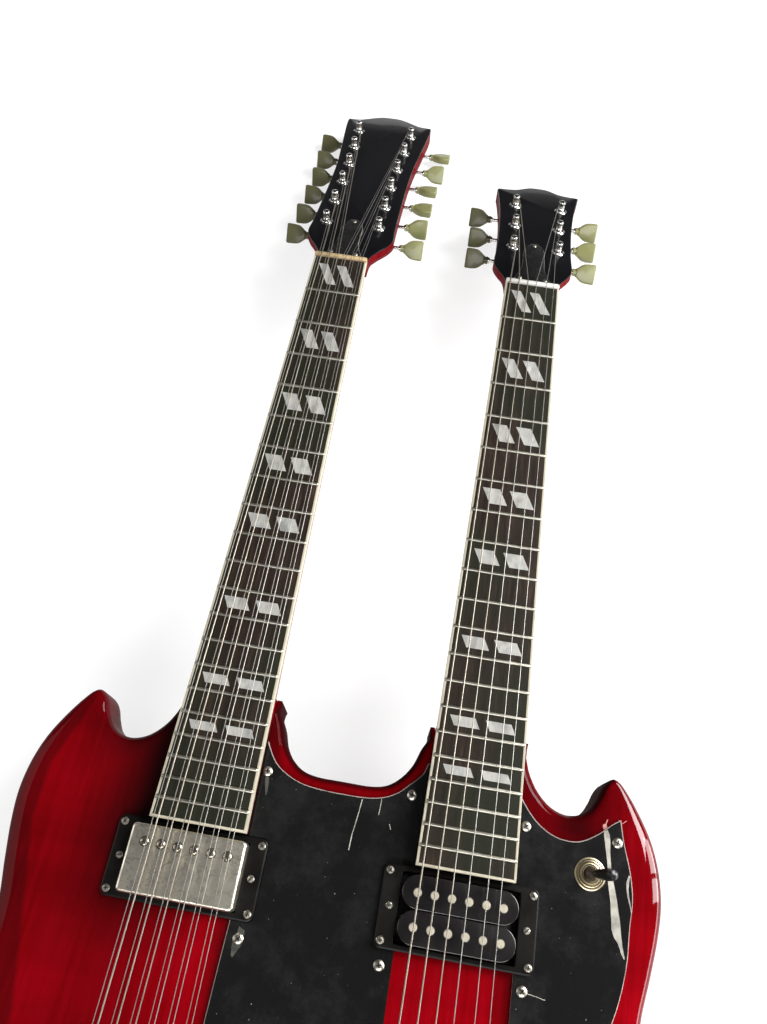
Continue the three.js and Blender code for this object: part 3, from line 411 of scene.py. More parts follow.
def turned(angle, axis="Z"):
    return Matrix.Rotation(angle, 4, axis)


def level(outline, z):
    return [(x, y, z) for x, y in outline]


def circle(radius, sides, x=0.0, y=0.0):
    steps = [2 * pi * k / sides for k in range(sides)]
    return [(x + radius * cos(a), y + radius * sin(a)) for a in steps]


def quarter(steps, power=1.0):
    """The (across, up) shares of the points round a rounded edge."""
    return [(cos(pi / 2 * k / steps) ** power, sin(pi / 2 * k / steps) ** power) for k in range(steps + 1)]


def both_ends(half, steps):
    """(across, share) pairs from one end of a bar to the other; steps gives (inset, share) at an end."""
    ends = [(inset - half, share) for inset, share in steps]
    return ends + [(-across, share) for across, share in ends[::-1]]


def outward(points, faces):
    """Turns all the faces of a closed shape over if they face inwards."""
    volume = 0.0
    for face in faces:
        for i in range(1, len(face) - 1):
            volume += points[face[0]].dot(points[face[i]].cross(points[face[i + 1]]))
    return (points, faces) if volume > 0 else (points, [face[::-1] for face in faces])


def loft(rings, caps=True):
    """A skin over rings that have the same number of points."""
    count = len(rings[0])
    points = [Vector(p) for ring in rings for p in ring]
    faces = []
    for r in range(len(rings) - 1):
        for i in range(count):
            j = (i + 1) % count
            faces.append((r * count + i, r * count + j, (r + 1) * count + j, (r + 1) * count + i))
    if caps:
        faces.append(tuple(reversed(range(count))))
        last = (len(rings) - 1) * count
        faces.append(tuple(last + i for i in range(count)))
    return outward(points, faces)


def lathe(profile, sides=28):
    """A turned shape about Z from (radius, height) pairs."""
    return loft([level(circle(max(radius, PIN), sides), height) for radius, height in profile])


# Where an outline would cross itself it moves less: tries, least share that is left of a side, easing
GROW_TRIES, LEAST_SIDE, EASING = 60, 0.08, 0.85


def grown(outline, amounts):
    """The outline moved outwards (inwards when negative), by less where it would cross itself."""
    count = len(outline)
    amounts = [amounts] * count if isinstance(amounts, (int, float)) else list(amounts)
    area = sum(outline[i - 1][0] * outline[i][1] - outline[i][0] * outline[i - 1][1] for i in range(count))
    sign = 1 if area > 0 else -1
    ways = []
    for i, (x, y) in enumerate(outline):
        (ax, ay), (bx, by) = outline[i - 1], outline[(i + 1) % count]
        way = Vector((y - ay, ax - x)).normalized() + Vector((by - y, x - bx)).normalized()
        ways.append(way * sign / max(0.5, way.length_squared / 2))
    for _ in range(GROW_TRIES):
        out = [(x + w.x * a, y + w.y * a) for (x, y), w, a in zip(outline, ways, amounts)]
        crossed = False
        for i in range(count):
            j = (i + 1) % count
            old = Vector(outline[j]) - Vector(outline[i])
            new = Vector(out[j]) - Vector(out[i])
            if new.dot(old) < LEAST_SIDE * old.length_squared:
                amounts[i] *= EASING
                amounts[j] *= EASING
                crossed = True
        if not crossed:
            break
    return out


def slab(outline, low, high, edge=0.0, foot=0.0, steps=3):
    """A plate with a rounded upper edge and, where foot is given, a rounded lower edge."""
    bend = quarter(steps)
    rings = [level(outline, low)]
    if foot:
        rings = [level(grown(outline, -foot * (1 - c)), low + foot * (1 - s)) for c, s in bend[-2::-1]]
    if edge:
        rings += [level(grown(outline, -edge * (1 - c)), high - edge * (1 - s)) for c, s in bend]
    else:
        rings.append(level(outline, high))
    return loft(rings)


def rounded(width, length, radius, steps=5, x=0.0, y=0.0):
    """A rounded rectangle's outline."""
    points = []
    for corner, (sx, sy) in enumerate(((1, 1), (-1, 1), (-1, -1), (1, -1))):
        cx, cy = sx * (width / 2 - radius), sy * (length / 2 - radius)
        for k in range(steps + 1):
            a = pi / 2 * (corner + k / steps)
            points.append((x + cx + radius * cos(a), y + cy + radius * sin(a)))
    return points


def block(x0, x1, y0, y1, z0, z1, edge=0.02):
    """A box with softened edges."""
    outline = [(x0, y0), (x1, y0), (x1, y1), (x0, y1)]
    levels = ((z0, edge), (z0 + edge, 0), (z1 - edge, 0), (z1, edge))
    return loft([level(grown(outline, -inset), z) for z, inset in levels])


def tube(path, radius, sides=8):
    """A round bar along a path, with its frame carried from point to point."""
    path = [Vector(p) for p in path]
    ends = range(len(path))
    ways = [(path[min(i + 1, len(path) - 1)] - path[max(i - 1, 0)]).normalized() for i in ends]
    side = ways[0].orthogonal().normalized()
    rings = []
    for p, way in zip(path, ways):
        side = (side - way * side.dot(way)).normalized()
        up = way.cross(side)
        rings.append([p + side * a + up * b for a, b in circle(radius, sides)])
    return loft(rings)


def blend(a, b, start, end, t):
    return a * ((end - t) / (end - start)) + b * ((t - start) / (end - start))


def curve(points, steps):
    """A centripetal Catmull-Rom curve through points, with steps spans between each two."""
    pts = [Vector(p) for p in points]
    ext = [pts[0] * 2 - pts[1], *pts, pts[-1] * 2 - pts[-2]]
    out = []
    for i in range(1, len(ext) - 2):
        p0, p1, p2, p3 = ext[i - 1:i + 3]
        t1 = max(1e-6, sqrt((p1 - p0).length))
        t2 = t1 + max(1e-6, sqrt((p2 - p1).length))
        t3 = t2 + max(1e-6, sqrt((p3 - p2).length))
        for k in range(steps):
            t = t1 + (t2 - t1) * k / steps
            a1, a2, a3 = blend(p0, p1, 0, t1, t), blend(p1, p2, t1, t2, t), blend(p2, p3, t2, t3, t)
            b1, b2 = blend(a1, a2, 0, t2, t), blend(a2, a3, t1, t3, t)
            out.append(blend(b1, b2, t1, t2, t))
    out.append(pts[-1])
    return out


def softened(outline, steps=5, corner=38):
    """Smooths an outline's curved stretches and keeps the corners that turn sharply."""
    count = len(outline)
    pts = [Vector((x, y, 0)) for x, y in outline]
    turns = [degrees((pts[i] - pts[i - 1]).angle(pts[(i + 1) % count] - pts[i])) for i in range(count)]
    sharp = [i for i in range(count) if turns[i] > corner]
    out = []
    for n, i in enumerate(sharp):
        j = sharp[(n + 1) % len(sharp)]
        span = (j - i) % count or count
        run = [pts[(i + k) % count] for k in range(span + 1)]
        if len(run) > 2:
            run = curve(run, steps)
        out.extend((p.x, p.y) for p in run[:-1])
    return out


def mesh_of(name, shape):
    mesh = bpy.data.meshes.new(name)
    mesh.from_pydata([p * MM for p in shape[0]], [], shape[1])
    return mesh


def link(name, data):
    holder = bpy.data.objects.new(name, data)
    bpy.context.collection.objects.link(holder)
    return holder


def creased(mesh, degrees_sharp):
    mesh.shade_smooth()
    mesh.set_sharp_from_angle(angle=radians(degrees_sharp))


def build(name, shape, material, body="guitar", crease=32, node=None):
    """Makes a piece, smooth with sharp creases, that rides on its body and may replace a CAD node."""
    mesh = mesh_of(name, shape)
    mesh.materials.append(material)
    creased(mesh, crease)
    piece = link(name, mesh)
    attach(piece, body)
    if node:
        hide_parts(node)
    return piece


def carve(piece, cutter, crease=32, own=False):
    """Cuts one shape out of a piece, and leaves no modifier; own is for a piece that may touch itself."""
    tool = link("cutter", mesh_of("cutter", cutter))
    step = piece.modifiers.new("cut", "BOOLEAN")
    step.operation = "DIFFERENCE"
    step.object = tool
    step.solver = "EXACT"
    step.use_self = own
    bpy.context.view_layer.update()
    done = bpy.data.meshes.new_from_object(piece.evaluated_get(bpy.context.evaluated_depsgraph_get()))
    piece.modifiers.clear()
    piece.data = done
    bpy.data.objects.remove(tool)
    creased(done, crease)


def place(row):
    """A point given as shares of the neck's offset or the half width, and of the heel or the tail."""
    size, along = abs(row[0]), row[1]
    x = size * NECK_X if size <= 1 else NECK_X + (size - 1) * (HALF_WIDTH - NECK_X)
    return (-x if row[0] < 0 else x), along * (HEEL if along > 0 else TAIL)


def middle(node):
    """The middle of a CAD node's box, across and along, in millimetres."""
    low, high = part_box(node)
    return (low.x + high.x) / 2 / MM, (low.y + high.y) / 2 / MM


def top_of(node):
    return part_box(node)[1].z / MM


# ---------------------------------------------------------------- body
# Rows of (across, along, share of the bevel) round the right half:
# from the tail to the neck, and between the necks

OUTER = [
    (0, -1, 1), (0.76, -0.99, 1), (1.27, -0.952, 1), (1.65, -0.85, 1), (1.95, -0.685, 1), (2.13, -0.47, 1),
    (2.195, -0.24, 1), (2.165, 0, 1), (2.07, 0.15, 1), (1.975, 0.28, 1), (1.92, 0.385, 1),
    (1.923, 0.475, 1), (1.963, 0.56, 1), (1.998, 0.64, 1), (2.012, 0.705, 1), (1.998, 0.77, 0.95),
    (1.96, 0.828, 0.85), (1.904, 0.877, 0.7), (1.83, 0.926, 0.45), (1.775, 0.952, 0.3),
    (1.745, 0.957, 0.28), (1.713, 0.949, 0.3), (1.687, 0.934, 0.35), (1.66, 0.907, 0.42),
    (1.622, 0.88, 0.5), (1.566, 0.864, 0.5), (1.496, 0.86, 0.5), (1.417, 0.872, 0.5), (1.346, 0.9, 0.5),
    (1.297, 0.936, 0.45), (1.272, 0.97, 0.35),
]
INNER = [
    (0.605, 0.972, 0.35), (0.562, 0.948, 0.45), (0.515, 0.91, 0.5), (0.44, 0.878, 0.5), (0.34, 0.855, 0.5),
    (0.225, 0.8465, 0.5), (0, 0.8455, 0.5),
]
BEVEL_WIDTH, BEVEL_DEPTH, BEVEL_POWER = 12.0, 7.0, 0.9
BACK_WIDTH, BACK_DEPTH, BACK_POWER = 10.0, 14.0, 0.74
SHARE_SCALE = 20
RING_PLACES = [(x, y) for y in (RING_Y, BRIDGE_PICKUP_Y) for x in (TWELVE_PICKUP_X, SIX_PICKUP_X)]
KNOBS = [middle(f"knob_{n}") for n in range(1, 5)]
TOGGLES = [place(row) for row in ((1.63, 0.743), (0, 0.13))]
JACK = place((1.8, -0.62))
# Cutters reach from these depths of the pockets and holes to above the top
ABOVE = 60
POCKET_FLOOR, CAVITY_FLOOR, KNOB_FLOOR, TOGGLE_FLOOR, JACK_FLOOR = 21.9, 29.8, 20, 28, 18
STEM_HOLE, TOGGLE_HOLE, JACK_HOLE = 3.4, 4.5, 3.4


def body_loop():
    """Points (x, y, share of the bevel) round the body, anticlockwise from the tail's middle."""
    outer, inner = (
        curve([(*place(row), row[2] * SHARE_SCALE) for row in rows], steps)
        for rows, steps in ((OUTER, 6), (INNER, 5))
    )
    half = [*outer, Vector((outer[-1].x - 0.3, HEEL, 0)), Vector((inner[0].x + 0.3, HEEL, 0)), *inner]
    loop = [*half, *(Vector((-p.x, p.y, p.z)) for p in half[-2:0:-1])]
    return [(p.x, p.y, min(1.0, max(0.0, p.z / SHARE_SCALE))) for p in loop]


def body_shape():
    loop = body_loop()
    top = [share * BEVEL_WIDTH for _, _, share in loop]
    back = [max(0.0, min(1.25 - share, 2 * share - 0.2)) * BACK_WIDTH for _, _, share in loop]
    plan = [(x, y) for x, y, _ in loop]
    rings = []
    for across, up in quarter(6, BACK_POWER):
        rings.append(level(grown(plan, [-w * (1 - up) for w in back]), BACK_DEPTH * (1 - across)))
    for across, up in quarter(9, BEVEL_POWER):
        rings.append(level(grown(plan, [-w * (1 - across) for w in top]), BODY_TOP - BEVEL_DEPTH * (1 - up)))
    return loft(rings)


def board_half(y):
    share = (y - BOARD_END) / (SCALE_LENGTH - BOARD_END)
    return (END_WIDTH + (NUT_WIDTH - END_WIDTH) * share) / 2


def strip(x, y0, y1, h0, h1):
    """The outline of a tapering stretch from the half widths of its ends."""
    return [(x - h0, y0), (x + h0, y0), (x + h1, y1), (x - h1, y1)]


def taper(x, y0, y1, grow=0.0):
    """The outline of a stretch of a neck, as wide as its board."""
    return strip(x, y0, y1, board_half(y0) + grow, board_half(y1) + grow)


def neck_room(x, low, grow=0.3):
    return slab(taper(x, BOARD_END - grow, HEEL + 34, grow), low, ABOVE)


def cavity(x, y, low, grow=0.6):
    w, l = PICKUP_SIZE[0] / 2 + grow, PICKUP_SIZE[1] / 2 + grow
    return slab([(x - w, y - l), (x + w, y - l), (x + w, y + l), (x - w, y + l)], low, ABOVE)


def round_hole(x, y, radius, low, high=ABOVE):
    return slab(circle(radius, 24, x, y), low, high)


def make_body():
    body = build("body_slab", body_shape(), CHERRY, crease=26)
    cuts = [neck_room(x, POCKET_FLOOR) for x in (-NECK_X, NECK_X)]
    cuts += [cavity(x, y, CAVITY_FLOOR) for x, y in RING_PLACES]
    cuts += [round_hole(*p, STEM_HOLE, KNOB_FLOOR) for p in KNOBS]
    cuts += [round_hole(*p, TOGGLE_HOLE, TOGGLE_FLOOR) for p in TOGGLES]
    cuts.append(round_hole(*JACK, JACK_HOLE, JACK_FLOOR))
    carve(body, merged(*cuts), 26)
    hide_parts("body")


# ---------------------------------------------------------------- necks and headstocks

# Half outlines of the headstocks and of the truss rod cover: shares of the half width and of the length
HEAD_12 = [
    (0.59, 0), (0.61, 0.03), (0.72, 0.062), (0.92, 0.105), (1.03, 0.145), (1.015, 0.21), (1, 0.36),
    (1, 0.5), (1.025, 0.64), (1.1, 0.77), (1.215, 0.985), (1.2, 1), (0.86, 1.005), (0.66, 1.02),
    (0.29, 1.046), (0, 1.05),
]
HEAD_6 = [
    (0.64, 0), (0.74, 0.06), (0.92, 0.125), (1.02, 0.18), (1, 0.33), (0.995, 0.5), (1.01, 0.63),
    (1.06, 0.79), (1.165, 0.97), (1.185, 0.99), (1.15, 1), (0.8, 1.005), (0.6, 1.015), (0.25, 1.052),
    (0, 1.057),
]
COVER = [
    (1, 0), (0.95, 0.1), (0.78, 0.22), (0.64, 0.38), (0.62, 0.6), (0.6, 0.78), (0.45, 0.92), (0.2, 0.99),
    (0, 1),
]
# half and length are the headstock's; pitch, post and shift place its machines; spread, middle and pair place
# the strings at the bridge and at the nut; rest is each button's angle, left side first
NECKS = [
    dict(
        tag="12", x=-NECK_X, strings=12, half=36.0, length=264.0, shares=HEAD_12, pitch=36.2, post=0.635,
        shift=-1.2, nut=NUT_CREAM, spread=(51.0, 34.0), middle=(-1.5, 0.0), pair=(3.0, 2.2),
        courses=(0, 0.2, 0.4, 0.6, 0.8, 1), rest=(-58, -72, -62, -80, -66, -50, 60, 72, -1, -10, 62, -12),
    ),
    dict(
        tag="6", x=NECK_X, strings=6, half=32.2, length=157.0, shares=HEAD_6, pitch=35.7, post=0.605,
        shift=0.9, nut=NUT_WHITE, spread=(50.0, 35.2), middle=(-3.0, -0.6), pair=(0.0, 0.0),
        courses=(0, 0.2, 0.402, 0.6, 0.832, 1), rest=(-64, -70, -60, 60, 48, 66),
    ),
]
FIRST_POST = 56.0
# Places along the neck, and how deep its back is below its top there
NECK_DEPTHS = [
    (HEEL - 15, 24.5), (HEEL + 4, 23.6), (HEEL + 12, 21.4), (HEEL + 22, 19.4), (HEEL + 34, 18.5),
    (400, 17.4), (520, 16.4), (SCALE_LENGTH, 15.5),
]
TENON_ENDS, TENON_HALVES = (186.95, HEEL - 0.3), (board_half(187), board_half(HEEL))
TENON_FLOOR = 22
VENEER = 1.0
BUSHING = [
    (3.3, -0.2), (5.6, -0.2), (5.6, 0.5), (5.2, 0.9), (4.6, 1.1), (4.3, 1.7), (3.9, 1.75), (3.3, 1.5),
    (3.3, -0.2),
]
POST_HOLE = 3.3
HOUSING_SIZE = (12.6, 16.7)
HOUSING_SHIFT = 2.15
HOUSING_LOW = -HEAD_DEPTH - 9.7


def head_matrix(neck):
    return Matrix.Translation((neck["x"], HEAD_START, NECK_TOP)) @ turned(-HEAD_ANGLE, "X")


def mirrored(shares, half, length, start=0.0):
    """A whole outline from one half's shares."""
    pts = [(x * half, start + y * length) for x, y in shares]
    return [*pts, *((-x, y) for x, y in pts[-2::-1])]


def head_half(neck, v):
    rows = [(y * neck["length"], x * neck["half"]) for x, y in neck["shares"]]
    for (y0, x0), (y1, x1) in zip(rows, rows[1:]):
        if y1 >= v:
            return x0 + (x1 - x0) * (v - y0) / (y1 - y0)


def machines(neck):
    """Where each machine's post stands on the headstock, left side first."""
    out = []
    for side in (-1, 1):
        for i in range(neck["strings"] // 2):
            v = FIRST_POST + i * neck["pitch"]
            edge = head_half(neck, v)
            out.append(dict(side=side, i=i, v=v, u=side * edge * neck["post"] + neck["shift"], edge=edge))
    return out


def section(x, y, half, top, depth, sides=22):
    steps = [pi * k / sides for k in range(sides + 1)]
    return [(x + half * cos(a), y, top - depth * sin(a) ** 0.8) for a in steps]


def neck_shape(neck):
    x, half = neck["x"], NUT_WIDTH / 2
    tenon = slab(strip(x, *TENON_ENDS, *TENON_HALVES), TENON_FLOOR, NECK_TOP - 0.02)
    rings = [section(x, y, board_half(max(HEEL, y)), NECK_TOP, depth) for y, depth in NECK_DEPTHS]
    drop = tan(HEAD_ANGLE) * 13
    for y, fall, depth in ((0, 0, 15.5), (6.5, drop / 2 + 0.4, 15.0), (13, drop + 1.2, 13.6)):
        rings.append(section(x, HEAD_START + y, half, NECK_TOP - fall, depth))
    return merged(tenon, loft(rings))


def fine_head(neck, late=0.0):
    """The headstock's outline; late moves its widening away from the nut, as it is at the back."""
    rows = [(x, y + (late / neck["length"] if 0 < y < 0.19 else 0)) for x, y in neck["shares"]]
    return softened(mirrored(rows, neck["half"], neck["length"]), 5, 40)


def head_shapes(neck):
    """The cherry wood of the headstock and the thin black face on it."""
    front, back = fine_head(neck), fine_head(neck, 9.0)
    wood = [level(grown(back, -inset), rise - HEAD_DEPTH) for inset, rise in ((1.2, 0), (0.4, 0.4))]
    wood += [level(back, 1.2 - HEAD_DEPTH), level(front, -7.0), level(front, -VENEER)]
    return loft(wood), slab(front, -VENEER, 0.0, 0.7)


def screw(radius, height, cross):
    """A domed screw head about Z, and the cross (or slot) in it as a dark mark of painted shade."""
    dome = [
        (0, -0.3), (radius, -0.3), (radius, height * 0.35), (radius * 0.8, height * 0.8),
        (radius * 0.4, height), (0, height),
    ]
    w, l, top = radius * 0.13, radius * 0.55, height + 0.03
    if cross:
        bars = [block(-a, a, -b, b, height * 0.45, top) for a, b in ((l, w), (w, l))]
    else:
        bars = [block(-radius * 0.82, radius * 0.82, -w * 1.2, w * 1.2, height * 0.3, top)]
    return lathe(dome, 16), merged(*bars)


def build_screws(name, places, radius, height, cross=True, matrix=Matrix()):
    """Many screws as two pieces: the heads and the painted shade of their recesses."""
    heads, recesses = [], []
    for n, spot in enumerate(places):
        turn = matrix @ (Matrix.Translation(spot) @ turned(radians(37 * n + 12)))
        head, recess = screw(radius, height, cross)
        heads.append(moved(head, turn))
        recesses.append(moved(recess, turn))
    build(name, merged(*heads), STEEL)
    build(name + "_recess", merged(*recesses), RECESS_SHADE)


def housing(m):
    """The stamped cover over a machine's gear, on the headstock's back, and its lid."""
    outline = rounded(*HOUSING_SIZE, 1.6, 4, m["u"], m["v"] + HOUSING_SHIFT)
    outer = [(0, -HEAD_DEPTH), (0, HOUSING_LOW + 1.4), (0.5, HOUSING_LOW + 0.4), (1.5, HOUSING_LOW)]
    inner = [(1.6, HOUSING_LOW + 1.2), (1.1, -HEAD_DEPTH)]
    rings = [level(grown(outline, -inset) if inset else outline, z) for inset, z in outer + inner]
    return merged(loft(rings, caps=False), slab(grown(outline, -1.4), HOUSING_LOW, HOUSING_LOW + 1.1))


def make_neck(neck):
    tag, lie, places = neck["tag"], head_matrix(neck), machines(neck)
    wood, face = head_shapes(neck)

    def fit(name, shape, material):
        return build(f"{name}_{tag}", moved(shape, lie), material)

    shaft = neck_shape(neck)
    build(f"neck_shaft_{tag}", shaft, NECK_CHERRY, crease=40, node=f"neck_{tag}")
    head = fit("headstock", wood, NECK_CHERRY)
    veneer = fit("headstock_face", face, HEAD_BLACK)
    holes = moved(merged(*(round_hole(m["u"], m["v"], POST_HOLE, -20, 5) for m in places)), lie)
    carve(head, holes)
    carve(veneer, holes)
    fit("bushings", merged(*(shifted(lathe(BUSHING), m["u"], m["v"]) for m in places)), CHROME)
    fit("tuner_housings", merged(*(housing(m) for m in places)), CHROME)
    tab_low, tab_high = -HEAD_DEPTH - 0.9, -HEAD_DEPTH + 0.1
    tabs = [rounded(5.4, 6.4, 2.6, 5, m["u"], m["v"] + s) for m in places for s in (-8.4, 12.6)]
    fit("housing_tabs", merged(*(slab(tab, tab_low, tab_high) for tab in tabs)), CHROME)
    spots = [(-m["u"], m["v"] + s, -tab_low) for m in places for s in (-9.0, 13.2)]
    build_screws(f"housing_screws_{tag}", spots, 1.7, 0.9, matrix=lie @ turned(pi, "Y"))
    cover = softened(mirrored(COVER, 15.0, 60.0, 2.5), 4, 40)
    fit("truss_edge", slab(cover, 0.0, 1.2), TORN)
    fit("truss_cover", slab(grown(cover, -0.35), 1.0, 2.0, 0.3), BLACK)
    spots = [(0, 58.2, 2.0), (-10.5, 6.6, 2.0), (10.5, 6.6, 2.0)]
    build_screws(f"truss_screws_{tag}", spots, 1.7, 0.7, matrix=lie)
    return places, lie


# ---------------------------------------------------------------- fretboards

FRETS = [SCALE_LENGTH * 2 ** (-n / 12) for n in range(1, 21)]
FRET_PROFILE = [(1.1, 0), (1.05, 0.45), (0.75, 0.85), (0.3, 1.08)]
FRET_PROFILE += [(-y, z) for y, z in FRET_PROFILE[::-1]]
FRET_ENDS = [(0, 0.4), (0.6, 0.85), (1.4, 1)]
INLAID = (1, 3, 5, 7, 9, 12, 15, 17)
DOTTED = (3, 5, 7, 9, 12, 15, 17, 19)
BINDING_WIDTH = 1.5
DOT_LEVEL = 50.0


def inlay_pair(x, y0, y1, width):
    """Two slanted parallelograms side by side between two frets; both lean to the right going down."""
    space, mid = y1 - y0, (y0 + y1) / 2
    height = space * (0.25 + 0.0095 * space)
    slant = height * 0.5
    between = 6.0 + 0.06 * height
    half = (0.75 * width - slant - between) / 4
    corners = ((-1, 1, -1), (1, 1, -1), (1, -1, 1), (-1, -1, 1))
    middles = [x + side * (half + between / 2) for side in (-1, 1)]
    return [[(cx + a * half + b * slant / 2, mid + c * height / 2) for a, b, c in corners] for cx in middles]


def make_board(neck):
    tag, x = neck["tag"], neck["x"]
    low = NECK_TOP + SEAT
    outer = taper(x, BOARD_END, SCALE_LENGTH)
    inner = taper(x, BOARD_END + BINDING_WIDTH, SCALE_LENGTH, -BINDING_WIDTH)
    build(f"fretboard_{tag}_wood", slab(inner, low, BOARD_TOP - 0.02), ROSEWOOD,
          node=f"fretboard_{tag}")

    def inset(name, shapes, material, crease=32):
        build(f"{name}_{tag}", merged(*shapes), material, crease=crease)

    sides = [[outer[a], outer[b], inner[b], inner[a]] for a, b in ((0, 1), (1, 2), (3, 0))]
    inset("binding", [slab(outline, low, BOARD_TOP, 0.25) for outline in sides], BINDING)
    bars = []
    for y in FRETS:
        bars.append(loft([
            [(x + across, y + dy, BOARD_TOP - 0.03 + dz * tall) for dy, dz in FRET_PROFILE]
            for across, tall in both_ends(board_half(y) - 0.5, FRET_ENDS)
        ]))
    inset("frets", bars, FRET_METAL, 50)
    gaps = [SCALE_LENGTH, *FRETS]
    pairs = [inlay_pair(x, gaps[n], gaps[n - 1], 2 * board_half((gaps[n] + gaps[n - 1]) / 2)) for n in INLAID]
    marks = [slab(outline, BOARD_TOP - 0.4, BOARD_TOP + 0.03) for pair in pairs for outline in pair]
    inset("inlays", marks, PEARL)
    dots = []
    for n in DOTTED:
        for s in ((-3, 3) if n == 12 else (0,)):
            y = (gaps[n] + gaps[n - 1]) / 2 + s
            side = Matrix.Translation((x - board_half(y), y, DOT_LEVEL)) @ turned(-pi / 2, "Y")
            dots.append(moved(lathe([(0, 0), (1.0, 0), (1.0, 0.06), (0, 0.06)], 16), side))
    inset("side_dots", dots, BLACK)


# ---------------------------------------------------------------- strings

# Radii of the strings from the low side, and of the thin string of each pair
SIX_GAUGES = (0.50, 0.43, 0.36, 0.27, 0.23, 0.21)
OCTAVE_GAUGES = (0.27, 0.24, 0.22, 0.21, 0.23, 0.21)
# How far behind the board's end, and how high above the neck, the nut's top runs
NUT_PROFILE = [(0.15, 6.6), (0.6, 7.7), (1.6, 8.1), (3.6, 7.6), (NUT_BACK - SCALE_LENGTH, 6.4)]
TURNS, TURN_STEPS = 2.6, 44
WRAP_TOP, WRAP_FALL = 6.5, 2.3
WAIST = 2.35


def strings_across(neck, share):
    """Where the strings lie across the neck, at a share of the way from the bridge to the nut."""
    spread, shift, pair = (a + (b - a) * share for a, b in (neck["spread"], neck["middle"], neck["pair"]))
    centres = [shift + spread * (c - 0.5) for c in neck["courses"]]
    return [centre + side * pair / 2 for centre in centres for side in ((-1, 1) if pair else (0,))]


def nut_shape(x):
    half, low = NUT_WIDTH / 2, NECK_TOP + SEAT
    rings = []
    for back, rise in NUT_PROFILE:
        y, top = SCALE_LENGTH + back, NECK_TOP + rise
        right = [(half, low), (half, top - 0.8), (half - 1.2, top)]
        rings.append([(x - half, y, low), *((x + a, y, z) for a, z in right), (x - half + 1.2, y, top),
                      (x - half, y, top - 0.8)])
    return loft(rings)


def make_strings(neck, places, lie):
    tag, x, per_side = neck["tag"], neck["x"], neck["strings"] // 2
    paired = neck["strings"] == 12
    node = f"nut_and_strings_{tag}"
    build(f"nut_{tag}", nut_shape(x), neck["nut"], crease=50, node=node)
    for k, (near, far) in enumerate(zip(strings_across(neck, 1), strings_across(neck, 0))):
        octave = paired and k % 2 == 0
        gauge = (OCTAVE_GAUGES if octave else SIX_GAUGES)[k // 2 if paired else k]
        m = places[k] if k < per_side else places[per_side + neck["strings"] - 1 - k]
        hub, sign = WAIST + gauge, -m["side"]
        helix = []
        for n in range(TURN_STEPS + 1):
            a = (0.0 if sign > 0 else pi) + sign * 2 * pi * TURNS * n / TURN_STEPS
            spot = (m["u"] + hub * cos(a), m["v"] + hub * sin(a), WRAP_TOP - WRAP_FALL * n / TURN_STEPS)
            helix.append(lie @ Vector(spot))
        path = [
            (x + far, -37.4, 50.8), (x + far, -20, 54.0), (x + far, -3, 57.1),
            (x + far, 0, STRING_AT_BRIDGE - 0.1),
            (x + (far + near) / 2, 315, (STRING_AT_NUT + STRING_AT_BRIDGE) / 2),
            (x + near, SCALE_LENGTH, STRING_AT_NUT + 0.2),
            (x + near, SCALE_LENGTH + 2.5, STRING_AT_NUT + 0.2),
            (x + near, NUT_BACK, STRING_AT_NUT - 0.7),
        ]
        wire = STRING_DIM if octave else STRING_WOUND if gauge > 0.3 else STRING_PLAIN
        build(f"string_{tag}_{k + 1}", tube([*path, *helix], gauge), wire, crease=60)


# ---------------------------------------------------------------- machine heads

POST_PROFILE = [
    (0, -22.4), (4.4, -22.4), (4.4, -18.4), (3.0, -18.4), (3.0, 2.6), (2.95, 3.2), (2.6, 3.7), (2.35, 4.4),
    (2.3, 5.6), (2.4, 6.6), (2.75, 7.3), (3.0, 7.7), (3.0, 8.9), (2.85, 9.5), (2.4, 10.05), (1.5, 10.35),
    (0, 10.4),
]
KEYSTONE = [
    (0, 0.42), (0.07, 0.47), (0.18, 0.66), (0.3, 0.83), (0.42, 0.93), (0.6, 0.98), (0.88, 1), (0.97, 0.97),
    (1, 0.86),
]
BUTTON_LENGTH, BUTTON_HALF = 17.0, 8.6
CROWN = [(-3.3, 1.3), (-3.15, 0.7), (-2.7, 0.2), (-2.2, 0.0), (2.2, 0.0), (2.7, 0.2), (3.15, 0.7), (3.3, 1.3)]
# Turned about the button's shaft: (radius, how far past its reach), but the worm lies about its own middle
COLLAR = [(0, 0.2), (3.2, 0.2), (3.3, 0.8), (3.1, 2.0), (3.0, 4.6), (0, 4.8)]
SHAFT_END = [(1.5, -1.6), (2.6, -1.4), (2.8, -0.4), (2.6, 0.3), (0, 0.4)]
WORM = [(0, -4.5), (2.0, -4.5), (2.0, 4.5), (1.5, 4.5)]
REACH_PAST_EDGE = 5.5


def button_shape(reach):
    """The plastic keystone: thin at the rim, crowned on both faces, with a collar towards the headstock."""
    half = [(3.0 + a * BUTTON_LENGTH, b * BUTTON_HALF) for a, b in KEYSTONE]
    outline = [(reach + a, b) for a, b in [*half, *((a, -b) for a, b in half[::-1])]]
    collar = lathe([(r, reach + z) for r, z in COLLAR], 24)
    key = loft([level(grown(outline, -cut), z) for z, cut in CROWN])
    return merged(key, moved(collar, turned(pi / 2, "Y")))


